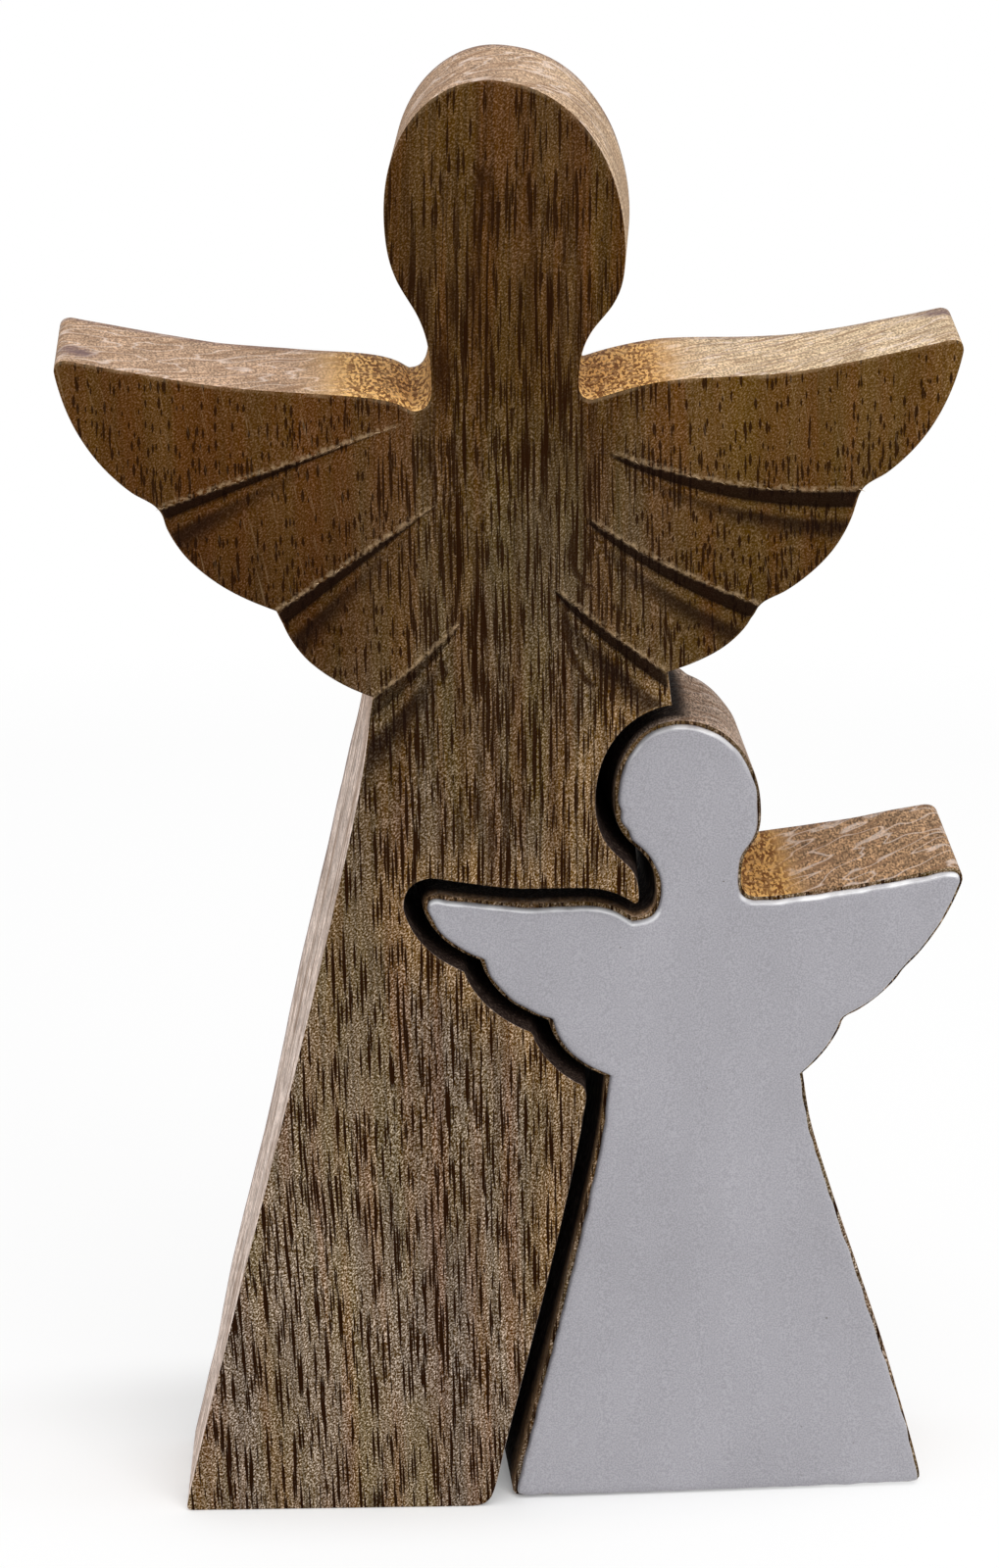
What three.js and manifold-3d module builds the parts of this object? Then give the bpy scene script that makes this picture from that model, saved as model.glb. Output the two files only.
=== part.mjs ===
// A nesting pair of sawn wooden angels.
// The large angel is one thick board with carved feather strokes on its wings. A nest is sawn right
// through its gown, and a small angel with an enamelled front stands in that nest as a loose piece.
// Millimetres, +Z up. The fronts face -Y, and both angels stand on z = 0.

import * as THREE from 'three';
import { mergeVertices } from 'three/addons/utils/BufferGeometryUtils.js';
import Module from 'manifold-3d';

// Overall sizes
const LARGE_HEIGHT = 200;
const LARGE_SPAN = 118.4; // from wing tip to wing tip
const SMALL_SPAN = 73.1;
const SMALL_DROP = 87.6; // from the large crown down to the small one, which stays below the large wing

// Boards and finish
const LARGE_THICKNESS = 24;
const SMALL_THICKNESS = 23;
const EDGE_EASE = 0.5; // sanded round on the long edges of both boards
const ENAMEL_THICKNESS = 0.9;
const ENAMEL_INSET = 0.4; // bare wood left round the enamel
const ENAMEL_ROLL = 0.3; // rolled rim of the poured enamel
const ENAMEL_BED = 0.3; // clearance between the enamel and its board

// How the small angel stands in the nest
const NEST_REACH = 12.05; // of the small wing's tip past the middle of the large angel
const SMALL_SETBACK = 3.3; // enamel face behind the front of the large angel
const SMALL_TURN = 2.7; // degrees, its right side further back
const NEST_GAP = 1.6; // least air round the small angel
const NEST_HEADROOM = 1.1; // more air above it than beside it
const NEST_FOOT_ROUND = 2.5; // eased corner of the large angel's foot beside the nest

// Feather strokes: a gouge cut with a steep upper wall and a long hollow below it
const STROKE_DEPTH = 1.7; // at the edge of the wing
const STROKE_WIDTH = 8.5; // of the whole stroke, at the edge of the wing
const STROKE_WALL = 1.9; // foot of the steep wall, measured sideways from its rim
const STROKE_LIFT = 0.5; // height of the cutting edge above the board where a stroke runs out
const STROKE_OVERRUN = 4; // past the edge of the wing
const STROKE_HEADROOM = 2; // of the cutter in front of the board

// Outlines. Places on the head, at the wing's root and at the waist, and where a carved stroke runs out,
// are [outwards from the middle, down from the crown]. The wing's top and its feathers' ends are
// [inwards from the wing's tip, down from the crown], and the tip is only so far down.
// The feather turn is the share of a feather's edge at which it turns down, and then in again.
// The hem is how far out the gown's edge meets the floor, and its flare is how far it still swings out there.
const LARGE_ANGEL = {
  height: LARGE_HEIGHT,
  span: LARGE_SPAN,
  crownShift: -2.9, // of the crown from the middle
  left: {
    way: -1,
    cheek: [16.3, 17],
    neck: [10.2, 40.5],
    notch: [12.6, 43.6],
    wingRoot: [18, 41.8],
    wingTop: [21.2, 40],
    tip: 36.4,
    feathers: [[13.1, 56.5], [28.5, 70.6]],
    waist: [18.1, 82.6],
    strokes: [[13.5, 45.2], [9, 55.8], [6.2, 72.1]],
    strokeSag: [0, 0, 0.4],
    featherTurn: [0.18, 0.33],
    hem: 44.5,
    hemFlare: 6.5,
  },
  right: {
    way: 1,
    cheek: [15, 23],
    neck: [9, 40],
    notch: [10.8, 42.2],
    wingRoot: [20.5, 39.8],
    wingTop: [21.2, 38.6],
    tip: 34.6,
    feathers: [[12.8, 54.6], [26, 70.3]],
    waist: [21, 79.5],
    strokes: [[12.5, 49.1], [10, 58], [6, 67.8]],
    strokeSag: [1.9, 0.9, 0.3],
    featherTurn: [0.18, 0.33],
    hem: 44.5,
    hemFlare: 6.5,
  },
  tipRound: 1.5,
  waistDrop: 13, // upright run of the gown's edge below the waist
  hemRise: 30, // height over which the gown's edge turns towards the hem
  footRound: 1,
};
const SMALL_ANGEL = {
  height: LARGE_HEIGHT - SMALL_DROP,
  span: SMALL_SPAN,
  crownShift: -2.2,
  left: {
    way: -1,
    cheek: [10.9, 10.9],
    neck: [5, 24.4],
    notch: [8.2, 27.6],
    wingRoot: [13, 25.4],
    wingTop: [12.5, 25.2],
    tip: 23.7,
    feathers: [[7.7, 33.2], [16.9, 42.1]],
    waist: [11.8, 50.4],
    strokes: [],
    featherTurn: [0.18, 0.33],
    hem: 24.6,
    hemFlare: 3.2,
  },
  right: {
    way: 1,
    cheek: [9, 13.4],
    neck: [6.4, 22.4],
    notch: [8.6, 25.2],
    wingRoot: [12.4, 25],
    wingTop: [13.6, 23.7],
    tip: 21.8,
    feathers: [[7.8, 36.1], [15.8, 43]],
    waist: [15.2, 50.8],
    strokes: [],
    featherTurn: [0.3, 0.42],
    hem: 31.9,
    hemFlare: 0.6,
  },
  tipRound: 1.8,
  waistDrop: 10,
  hemRise: 15,
  footRound: 1.6,
};
const SMALL_OFFSET = SMALL_SPAN / 2 - NEST_REACH; // from the middle of the large angel to that of the small one

// Shape factors of the curves, without units
const OVAL = 0.58; // handle of a quarter oval, a little squarer than a true ellipse
const CURVE_STEPS = 6; // straight runs for each curve of an outline
const NEST_STEPS = 14; // finer runs, from which the nest is set off
const NEST_CLOSE = 0.98; // share of the gap at which a set-off place is too close and is dropped
const STROKE_STEPS = 8; // stations along a feather stroke

const wasm = await Module();
wasm.setup();

// Turns a closed geometry into a solid that can be cut.
function solid(geometry) {
  const bare = geometry.clone();
  bare.deleteAttribute('normal');
  bare.deleteAttribute('uv');
  const merged = mergeVertices(bare, 1e-4);
  return new wasm.Manifold(new wasm.Mesh({
    numProp: 3,
    vertProperties: new Float32Array(merged.attributes.position.array),
    triVerts: new Uint32Array(merged.index.array),
  }));
}

function geometryOf(cut) {
  const mesh = cut.getMesh();
  const geometry = new THREE.BufferGeometry();
  geometry.setAttribute('position', new THREE.BufferAttribute(new Float32Array(mesh.vertProperties), 3));
  geometry.setIndex(new THREE.BufferAttribute(new Uint32Array(mesh.triVerts), 1));
  return geometry;
}

// Joins rings of three corners into a closed bar.
function bar(rings) {
  const corners = rings[0].length;
  const index = [0, 2, 1];
  for (let ring = 0; ring + 1 < rings.length; ring += 1) {
    for (let i = 0; i < corners; i += 1) {
      const a = ring * corners + i;
      const b = ring * corners + ((i + 1) % corners);
      index.push(a, b, b + corners, a, b + corners, a + corners);
    }
  }
  const last = (rings.length - 1) * corners;
  index.push(last, last + 1, last + 2);
  const geometry = new THREE.BufferGeometry().setFromPoints(rings.flat());
  geometry.setIndex(index);
  return geometry;
}

// The places that one side's outline runs through, in the plane of the board, from z = 0 at the foot.
function placesOf(angel, side) {
  const fromMiddle = ([out, down]) => new THREE.Vector2(side.way * out, angel.height - down);
  const fromTip = ([inwards, down]) => fromMiddle([angel.span / 2 - inwards, down]);
  return {
    crown: new THREE.Vector2(angel.crownShift, angel.height),
    cheek: fromMiddle(side.cheek),
    neck: fromMiddle(side.neck),
    notch: fromMiddle(side.notch),
    wingTop: [fromMiddle(side.wingRoot), fromTip(side.wingTop), fromTip([angel.tipRound, side.tip])],
    tip: fromTip([0, side.tip]),
    feathers: [...side.feathers.map(fromTip), fromMiddle(side.waist)],
    strokes: side.strokes.map(fromMiddle),
    hem: new THREE.Vector2(side.way * side.hem, 0),
  };
}

// One side of an angel, from the crown of its head down to its hem.
function sidePath(angel, side) {
  const { crown, cheek, neck, notch, wingTop, tip, feathers, hem } = placesOf(angel, side);
  const path = new THREE.Path();
  path.moveTo(crown.x, crown.y);
  path.bezierCurveTo(
    crown.x + OVAL * (cheek.x - crown.x), crown.y,
    cheek.x, cheek.y + OVAL * (crown.y - cheek.y),
    cheek.x, cheek.y,
  );
  path.bezierCurveTo(
    cheek.x, cheek.y - OVAL * (cheek.y - neck.y),
    neck.x, neck.y + OVAL * (cheek.y - neck.y),
    neck.x, neck.y,
  );
  path.quadraticCurveTo(neck.x, notch.y, notch.x, notch.y);
  path.splineThru(wingTop);
  path.quadraticCurveTo(tip.x, tip.y, tip.x, tip.y - angel.tipRound);
  for (const end of feathers) {
    const start = path.currentPoint;
    path.quadraticCurveTo(
      start.x + side.featherTurn[0] * (end.x - start.x),
      end.y + side.featherTurn[1] * (start.y - end.y),
      end.x, end.y,
    );
  }
  const waist = path.currentPoint;
  path.bezierCurveTo(
    waist.x, waist.y - angel.waistDrop,
    hem.x - side.way * side.hemFlare, angel.hemRise,
    hem.x, hem.y,
  );
  return path;
}

// Ends a line that comes down to the floor with an eased corner, which turns along the floor.
function easedFoot(line, round, alongFloor) {
  const upright = line.filter((point) => point.y > round);
  const start = upright[upright.length - 1];
  const run = start.clone().sub(upright[upright.length - 2]);
  const corner = start.clone().addScaledVector(run, -start.y / run.y);
  const above = corner.clone().addScaledVector(run.normalize(), -round);
  const end = new THREE.Vector2(corner.x + alongFloor * round, 0);
  const ease = new THREE.QuadraticBezierCurve(above, corner, end);
  return [...upright, ...ease.getPoints(CURVE_STEPS / 2)];
}

function sidePoints(angel, side) {
  return easedFoot(sidePath(angel, side).getPoints(CURVE_STEPS), angel.footRound, -side.way);
}

function angelShape(angel) {
  const left = sidePoints(angel, angel.left);
  const right = sidePoints(angel, angel.right);
  return new THREE.Shape([...left, ...right.reverse().slice(0, -1)]);
}

// A board of this outline, standing upright with its middle on y = 0 and its long edges eased.
function board(shape, thickness, ease, inset = 0) {
  const geometry = new THREE.ExtrudeGeometry(shape, {
    depth: thickness - 2 * ease,
    bevelThickness: ease,
    bevelSize: ease,
    bevelOffset: -ease - inset,
    bevelSegments: 2,
  });
  geometry.rotateX(Math.PI / 2);
  geometry.translate(0, thickness / 2 - ease, 0);
  return geometry;
}

// The saw line of the nest: the left side of the small angel, set off by an even gap.
function nestLine(gap) {
  const line = sidePath(SMALL_ANGEL, SMALL_ANGEL.left).getPoints(NEST_STEPS);
  const set = [];
  for (let i = 1; i + 1 < line.length; i += 1) {
    const along = line[i + 1].clone().sub(line[i - 1]).normalize();
    const place = line[i].clone().add(new THREE.Vector2(along.y, -along.x).multiplyScalar(gap));
    if (line.every((point) => point.distanceTo(place) > NEST_CLOSE * gap)) {
      set.push(place);
    }
  }
  return set.map((place) => new THREE.Vector2(place.x + SMALL_OFFSET, place.y + NEST_HEADROOM));
}

// What the saw takes out of the large angel: all that lies to the right of the nest line.
function nestCutter(thickness) {
  const turn = THREE.MathUtils.degToRad(SMALL_TURN);
  const gap = NEST_GAP + Math.abs(Math.sin(turn)) * SMALL_THICKNESS / 2;
  const line = easedFoot(nestLine(gap), NEST_FOOT_ROUND, -1);
  const foot = line[line.length - 1];
  const floor = -NEST_FOOT_ROUND;
  const far = SMALL_OFFSET + (SMALL_SPAN + LARGE_SPAN) / 2;
  const outline = [
    ...line,
    new THREE.Vector2(foot.x, floor),
    new THREE.Vector2(far, floor),
    new THREE.Vector2(far, line[0].y),
  ];
  return board(new THREE.Shape(outline), 2 * thickness, 0);
}

// One feather stroke, from where it runs out to past the edge of the wing.
function strokeCutter(inner, outer, sag, front) {
  const run = outer.clone().sub(inner);
  const down = new THREE.Vector2(-run.y, run.x).normalize();
  down.multiplyScalar(-Math.sign(down.y));
  const middle = inner.clone().add(outer).multiplyScalar(0.5).addScaledVector(down, 2 * sag);
  const path = new THREE.QuadraticBezierCurve(inner, middle, outer);
  const past = 1 + STROKE_OVERRUN / run.length();
  const wall = STROKE_WALL / STROKE_DEPTH;
  const hollow = (STROKE_WIDTH - STROKE_WALL) / STROKE_DEPTH;
  const rings = [];
  for (let step = 0; step <= STROKE_STEPS; step += 1) {
    const t = past * step / STROKE_STEPS;
    const place = path.getPoint(t);
    const depth = (STROKE_DEPTH + STROKE_LIFT) * t - STROKE_LIFT;
    const at = (sideways, sunk) => new THREE.Vector3(
      place.x + down.x * sideways, front + sunk, place.y + down.y * sideways,
    );
    const ring = [
      at(wall * depth, depth),
      at(wall * depth + hollow * (depth + STROKE_HEADROOM), -STROKE_HEADROOM),
      at(-wall * STROKE_HEADROOM, -STROKE_HEADROOM),
    ];
    rings.push(run.x < 0 ? ring : ring.reverse());
  }
  return bar(rings);
}

function largeAngel() {
  let cut = solid(board(angelShape(LARGE_ANGEL), LARGE_THICKNESS, EDGE_EASE));
  cut = cut.subtract(solid(nestCutter(LARGE_THICKNESS)));
  for (const side of [LARGE_ANGEL.left, LARGE_ANGEL.right]) {
    const { strokes, feathers } = placesOf(LARGE_ANGEL, side);
    strokes.forEach((inner, i) => {
      const cutter = strokeCutter(inner, feathers[i], side.strokeSag[i], -LARGE_THICKNESS / 2);
      cut = cut.subtract(solid(cutter));
    });
  }
  return geometryOf(cut);
}

function smallEnamel() {
  const geometry = board(angelShape(SMALL_ANGEL), ENAMEL_THICKNESS, ENAMEL_ROLL, ENAMEL_INSET);
  geometry.translate(0, -SMALL_THICKNESS / 2 - ENAMEL_BED - ENAMEL_THICKNESS / 2, 0);
  return geometry;
}

function piece(name, geometry, color, roughness) {
  const material = new THREE.MeshStandardMaterial({ color, roughness, metalness: 0 });
  const mesh = new THREE.Mesh(geometry, material);
  mesh.name = name;
  return mesh;
}

const smallPair = new THREE.Group();
const smallBoard = board(angelShape(SMALL_ANGEL), SMALL_THICKNESS, EDGE_EASE);
smallPair.add(piece('small_angel', smallBoard, '#9a7b5e', 0.8));
smallPair.add(piece('small_angel_enamel', smallEnamel(), '#a6a5aa', 0.14));
smallPair.rotation.z = THREE.MathUtils.degToRad(SMALL_TURN);
const smallFront = SMALL_THICKNESS / 2 + ENAMEL_BED + ENAMEL_THICKNESS;
smallPair.position.set(SMALL_OFFSET, SMALL_SETBACK + smallFront - LARGE_THICKNESS / 2, 0);

const angels = new THREE.Group();
angels.add(piece('large_angel', largeAngel(), '#62503b', 0.6));
angels.add(smallPair);

// The origin is under the middle of the pair, on the surface that it stands on.
const middle = new THREE.Box3().setFromObject(angels).getCenter(new THREE.Vector3());
angels.position.set(-middle.x, -middle.y, 0);

export default angels;
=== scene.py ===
"""Dresses a nesting pair of sawn wooden angels.

Both boards are remade from the outlines of their solids, with carved strokes, worn edges and the wander
of a hand-led saw. The front of the small angel carries a poured enamel coat.
"""

import math

import bmesh
import bpy
import numpy as np
from bpy.props import FloatProperty, FloatVectorProperty, IntProperty, PointerProperty
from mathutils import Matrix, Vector, noise
from mathutils.geometry import delaunay_2d_cdt
from mathutils.kdtree import KDTree


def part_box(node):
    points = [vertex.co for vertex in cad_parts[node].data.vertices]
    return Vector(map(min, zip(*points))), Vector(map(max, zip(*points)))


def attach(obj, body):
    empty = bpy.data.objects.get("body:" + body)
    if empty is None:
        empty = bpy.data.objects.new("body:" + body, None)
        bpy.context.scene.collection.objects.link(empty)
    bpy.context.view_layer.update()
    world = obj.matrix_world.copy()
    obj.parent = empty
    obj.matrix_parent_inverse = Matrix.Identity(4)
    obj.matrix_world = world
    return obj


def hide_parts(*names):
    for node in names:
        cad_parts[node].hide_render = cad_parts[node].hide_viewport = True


bl_info = {
    "name": "Nesting Wooden Angels",
    "version": (1, 0, 0),
    "blender": (4, 5, 0),
    "location": "3D View > Sidebar > Angels",
    "description": "Carves, grains and enamels a nesting pair of sawn wooden angels",
    "category": "Object",
}

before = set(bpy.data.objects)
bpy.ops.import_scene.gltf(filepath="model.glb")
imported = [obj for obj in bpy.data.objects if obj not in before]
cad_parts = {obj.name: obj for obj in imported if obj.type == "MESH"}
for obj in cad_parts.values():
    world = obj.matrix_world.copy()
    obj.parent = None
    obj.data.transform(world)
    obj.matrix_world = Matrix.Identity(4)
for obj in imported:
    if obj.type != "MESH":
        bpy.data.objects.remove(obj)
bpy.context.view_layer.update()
MM = 0.001

# Carved strokes: inner end, end at the wing's edge and sag, in mm from the middle of the wing span at
# the foot, then how slowly the stroke deepens, how broad its wall is, and how dark its wall is drawn with
# scorch and painted shade
FEATHER_STROKES = (
    ((-13.5, 154.8), (-46.1, 143.5), 0.0, 1.3, 1.05, 1.0),
    ((-9.0, 144.2), (-30.7, 129.4), 0.0, 1.0, 1.25, 1.0),
    ((-6.2, 127.9), (-18.1, 117.4), 0.4, 0.8, 1.2, 0.7),
    ((12.5, 150.9), (46.4, 145.4), 1.9, 0.5, 1.5, 1.0),
    ((10.0, 142.0), (33.2, 129.7), 0.9, 0.45, 1.3, 1.0),
    ((6.0, 132.2), (21.0, 120.5), 0.3, 0.45, 1.1, 1.0),
)
# Where the wings meet the neck, in the same measure, for the rough saw turns there
LARGE_NOTCHES = ((-12.6, 156.4), (10.8, 157.8))
SMALL_NOTCHES = ((8.6, 87.2),)
# Dark curved lines, in the same measure: middle and radius of the arc, and the heights between which it
# runs
DARK_ARCS = ((14.4, 137.2, 6.3, 131.5, 140.5), (24.0, 128.6, 16.6, 117.8, 131.0))
# Dark smears: middle and half of the width and height, in the same measure
GRAIN_SMEARS = (
    (-3.5, 187.0, 1.6, 3.4), (-11.3, 170.8, 0.9, 6.5), (-7.4, 171.0, 0.7, 7.0), (-9.1, 162.0, 2.4, 7.0),
    (-4.0, 178.0, 0.5, 9.0),
)
# Stains on the sawn ends of the large wings: place in the frame and size, in mm
END_STAINS = ((-57.6, -8.6, 163.4, 3.6), (57.0, 6.0, 164.5, 3.6))
# Chips in the enamel's rim: place from the middle of the small angel at its foot, and size, in mm
ENAMEL_CHIPS = ((-9.6, 97.0, 1.1), (-10.4, 100.0, 0.8), (19.4, 62.8, 0.9), (26.5, 40.0, 0.8))
# Steps up the enamel's rolled rim: inset in mm, share of the coat's thickness, and how strong the
# painted highlight is on the upper rims
ENAMEL_RIM = ((0.0, 0.0, 0.4), (-0.03, 0.35, 0.7), (0.05, 0.68, 1.0), (0.22, 0.88, 1.0), (0.5, 0.97, 0.0))
# How high above the floor the enamel ends, in mm
ENAMEL_FOOT = 0.15

# Heights in mm between which the look of the wood changes
HEM = (20.0, 45.0)
FIBRE_FADE = (60.0, 165.0)
BELLY = (70.0, 118.0)
PORE_EASE = (90.0, 150.0)
WAIST = (110.0, 126.0)
# Heights over which the painted shade of the lower wing feathers lifts
WINGS = (136.0, 154.0)
PORE_FADE = (150.0, 186.0)
NECK = (158.0, 166.0)
CHIN = (166.0, 170.0)
BROW = (172.0, 190.0)
CROWN = (174.0, 190.0)
# Distances in mm from the middle between which the streaks end and the wings start
STREAKS_END = (8.0, 16.0)
WING_ROOTS = (9.0, 27.0)

# How finely the pieces are meshed: turns above which an outline has a corner or isn't straight, rings of
# places over a round and over a sawn edge, and spacings and reaches in mm
CORNER_TURN = math.radians(40)
STRAIGHT_TURN = math.radians(0.15)
EDGE_RINGS = 3
WALL_RINGS = 8
COARSE_SPACING = 1.5
FINE_SPACING = 0.42
HOLLOW_SPACING = 1.6 * FINE_SPACING
BACK_SPACING = 3.0
FINE_REACH = 1.2
MEASURED_STEP = 0.5
NEST_REACH = 4.5
ENAMEL_STEP = 0.4
ENAMEL_REACH = 3.2
# Distance in mm that stands for every greater one
FAR = 60.0
# Where the finishes are in a board's list of materials
OILED = 0
SAWN = 1


def linear(code):
    """Turns an sRGB hex colour into the linear colour that Blender works in."""
    channels = [int(code[i:i + 2], 16) / 255 for i in (1, 3, 5)]
    return [c / 12.92 if c <= 0.04045 else ((c + 0.055) / 1.055) ** 2.4 for c in channels] + [1.0]


def length(name, description, millimetres):
    """A length that a user may change, given in millimetres."""
    return FloatProperty(
        name=name, description=description, default=millimetres * MM, min=0.0, unit="LENGTH", precision=5
    )


def colour(name, description, code):
    """A colour that a user may change, given as an sRGB hex code."""
    return FloatVectorProperty(
        name=name, description=description, default=linear(code), size=4, min=0.0, max=1.0,
        subtype="COLOR",
    )


class BoardSettings(bpy.types.PropertyGroup):
    """How the boards were sawn and sanded."""

    edge_round: length("Edge round", "Sanded round along the face of a board", 0.3)
    outline_step: length("Outline step", "Spacing of the places along an outline", 0.5)
    head_lean: length("Head lean", "How far the back of the large head strays to the right", 1.8)
    wing_lean: length("Wing lean", "How far the back of the right wing strays outwards", 0.9)
    wing_drop: length("Wing drop", "How far the back of the right wing strays down", 1.4)
    gown_lean: length("Gown lean", "How far the back of the gown's left edge strays to the left", 0.9)
    nest_lean: length("Nest lean", "How far the sawn walls of the nest close up towards the back", 0.8)
    small_rise: length("Small rise", "How far the back of the small right wing strays up", 1.6)
    saw_wobble: length("Saw wobble", "Small wander of the saw along its line", 0.12)
    face_waver: length("Face waver", "Hand-sanded unevenness of the faces", 0.05)


class CarvingSettings(bpy.types.PropertyGroup):
    """The gouge that cut the feather strokes."""

    depth: length("Depth", "Depth of a stroke at the edge of the wing", 1.7)
    wall: length("Wall", "Width of the steep upper wall at the edge of the wing", 1.9)
    facet: length("Facet", "Width of the facet below the wall", 1.1)
    width: length("Width", "Width of the whole stroke at the edge of the wing", 8.5)
    rim: length("Rim", "Width of the pale torn line above the wall", 0.3)
    facet_share: FloatProperty(
        name="Facet share", description="Share of the depth that is left below the facet", default=0.6,
        min=0.0, max=1.0, subtype="FACTOR",
    )
    fibre_spacing: length("Fibre spacing", "Spacing of the torn fibres along a rim", 0.55)
    fibre_length: length("Fibre length", "Length of a torn fibre", 0.8)
    fibre_width: length("Fibre width", "Width of a torn fibre", 0.16)
    fibre_seed: IntProperty(name="Fibre seed", description="Seed of the torn fibres", default=7)


class EnamelSettings(bpy.types.PropertyGroup):
    """The poured coat on the small angel."""

    inset: length("Inset", "How far the coat stays inside the solid's outline", 0.12)
    waver: length("Rim waver", "Unevenness of the coat's edge", 0.16)
    bead: length("Bead", "How far the rolled rim stands above the middle of the coat", 0.14)
    bead_width: length("Bead width", "Width of the rolled rim", 2.6)
    speck_size: length("Speck size", "Size of the specks and pinholes", 0.22)
    speck_density: FloatProperty(
        name="Specks", description="Specks for each square metre of enamel", default=9000.0, min=0.0
    )
    speck_seed: IntProperty(name="Speck seed", description="Seed of the specks", default=3)
    colour: colour("Enamel", "Grey-white of the coat", "#9d9ba1")
    # Colour of the painted highlight on the coat's upper rims
    rim_highlight_colour: colour("Enamel rim", "Thicker, whiter enamel on the upper rims", "#f2f2f4")
    speck_colour: colour("Speck", "Dirt in the pinholes", "#5d574f")


class WoodSettings(bpy.types.PropertyGroup):
    """Colours and pores of the wood."""

    pore_width: length("Pore width", "Width of the open pores", 0.34)
    # Paler and greyer than the body, partly the wood's tone and partly painted light from the floor
    gown: colour("Gown", "Oiled face near the floor", "#7d6c5a")
    body: colour("Body", "Oiled face of the upper gown", "#64523c")
    chest: colour("Chest", "Oiled face between the wings", "#5d4c36")
    head: colour("Head", "Oiled face of the head", "#543c20")
    wing_left: colour("Left wing", "Oiled face of the left wing", "#563a1b")
    wing_right: colour("Right wing", "Oiled face of the right wing", "#634825")
    red: colour("Red tint", "Reddish bands, laid over the face", "#ffd9c4")
    olive: colour("Olive tint", "Yellow-green bands, laid over the face", "#f3f2c8")
    grey: colour("Grey tint", "Greyer bands, laid over the face", "#e3e6f2")
    nest_tint: colour("Nest tint", "Warmer wood along the nest", "#856948")
    pore: colour("Pore", "Inside of the pores", "#241003")
    worn: colour("Worn edge", "Bare wood on worn edges and torn rims", "#b59a78")
    # Scorch of the stroke walls; also the colour of painted shade on stroke walls and hollows and in the
    # nest
    scorch_and_shade: colour("Scorch", "Walls of the strokes, darkened by the gouge", "#190c07")
    sawn: colour("Sawn", "Raw sawn edge on the right", "#cfb796")
    sawn_dull: colour("Sawn, dull", "Duller raw edge on the left", "#b0937a")
    # Its paleness is partly painted light on the gown's left side, which the lamps light less
    sawn_pink_with_painted_light: colour("Sawn, pink", "Paler, pinker raw edge of the gown, and growth lines", "#eedbcf")
    sawn_tan: colour("Sawn, tan", "Raw edge of the small angel", "#a07f5f")
    # Paler as painted light on the small head's sides in the large wing's shadow; also the painted sheen
    sawn_grey_with_painted_light: colour("Sawn, grey", "Raw edge of the small angel's head", "#b29c8b")
    sawn_line: colour("Sawn line", "Darker lines in the raw edge", "#86664b")
    rough: colour("Rough turn", "Torn end grain where the saw turned", "#e4b168")
    # Paler than the right turn as painted light: the head shades the left turn
    rough_with_painted_light: colour("Rough turn, left", "Paler torn end grain of the left turn", "#fcca7e")
    pit: colour("Pit", "Dark pits in the torn end grain", "#6b3d17")
    bruise: colour("Bruise", "Purple-grey stains on the sawn ends", "#6b5556")


class StageSettings(bpy.types.PropertyGroup):
    """Camera, floor and light."""

    lens: FloatProperty(name="Lens", description="Focal length on a 36 mm long side", default=136.19)
    camera_place: FloatVectorProperty(
        name="Camera", description="Place of the camera", default=(-0.028675, -0.764149, 0.35),
        subtype="TRANSLATION", unit="LENGTH",
    )
    pitch: FloatProperty(
        name="Pitch", description="How far the camera looks down", default=math.radians(18.075),
        unit="ROTATION",
    )
    yaw: FloatProperty(
        name="Yaw", description="How far the camera looks to the right", default=math.radians(2),
        unit="ROTATION",
    )
    floor_size: FloatProperty(name="Floor", description="Side of the floor", default=8.0, unit="LENGTH")
    sky: FloatProperty(name="Sky", description="Strength of the light from all round", default=0.62)
    top_power: FloatProperty(name="Top light", description="Power of the soft top light", default=6.0)
    front_power: FloatProperty(name="Front light", description="Power of the soft front light", default=3.0)
    floor_colour: colour("Floor", "Pale floor", "#f6f6f6")
    floor_glow: FloatVectorProperty(
        name="Floor glow", description="Share of plain white in the seen floor, at and around the feet",
        default=(0.2, 0.8), size=2, min=0.0, max=1.0,
    )
    shadow_middle: FloatVectorProperty(
        name="Shadow middle", description="Middle of the dark shadow at the feet",
        default=(-0.022, 0.006, 0.0), subtype="TRANSLATION", unit="LENGTH",
    )
    shadow_size: FloatVectorProperty(
        name="Shadow size", description="Half of the dark shadow's width and depth; it ends at twice that",
        default=(0.05, 0.018, 1.0), unit="LENGTH",
    )
    shadow_reach: FloatVectorProperty(
        name="Shadow reach", description="Where the floor starts to turn plain white, and where it is",
        default=(0.1, 0.4), size=2, unit="LENGTH",
    )


def add_node(tree, kind, inputs=(), stops=(), **settings):
    """Adds one node, sets its properties and fills its inputs, in order or by name."""
    node = tree.nodes.new(kind)
    for name, value in settings.items():
        setattr(node, name, value)
    for element in list(node.color_ramp.elements)[1:] if stops else ():
        node.color_ramp.elements.remove(element)
    for i, (position, value) in enumerate(stops):
        element = node.color_ramp.elements.new(position) if i else node.color_ramp.elements[0]
        element.position = position
        element.color = value
    shown = [socket for socket in node.inputs if socket.enabled]
    for key, value in inputs.items() if isinstance(inputs, dict) else enumerate(inputs):
        socket = shown[key] if isinstance(key, int) else next(s for s in shown if s.name == key)
        if isinstance(value, bpy.types.Node):
            value = next(output for output in value.outputs if output.enabled)
        if isinstance(value, bpy.types.NodeSocket):
            tree.links.new(value, socket)
        elif value is not None:
            socket.default_value = value
    return node


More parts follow.
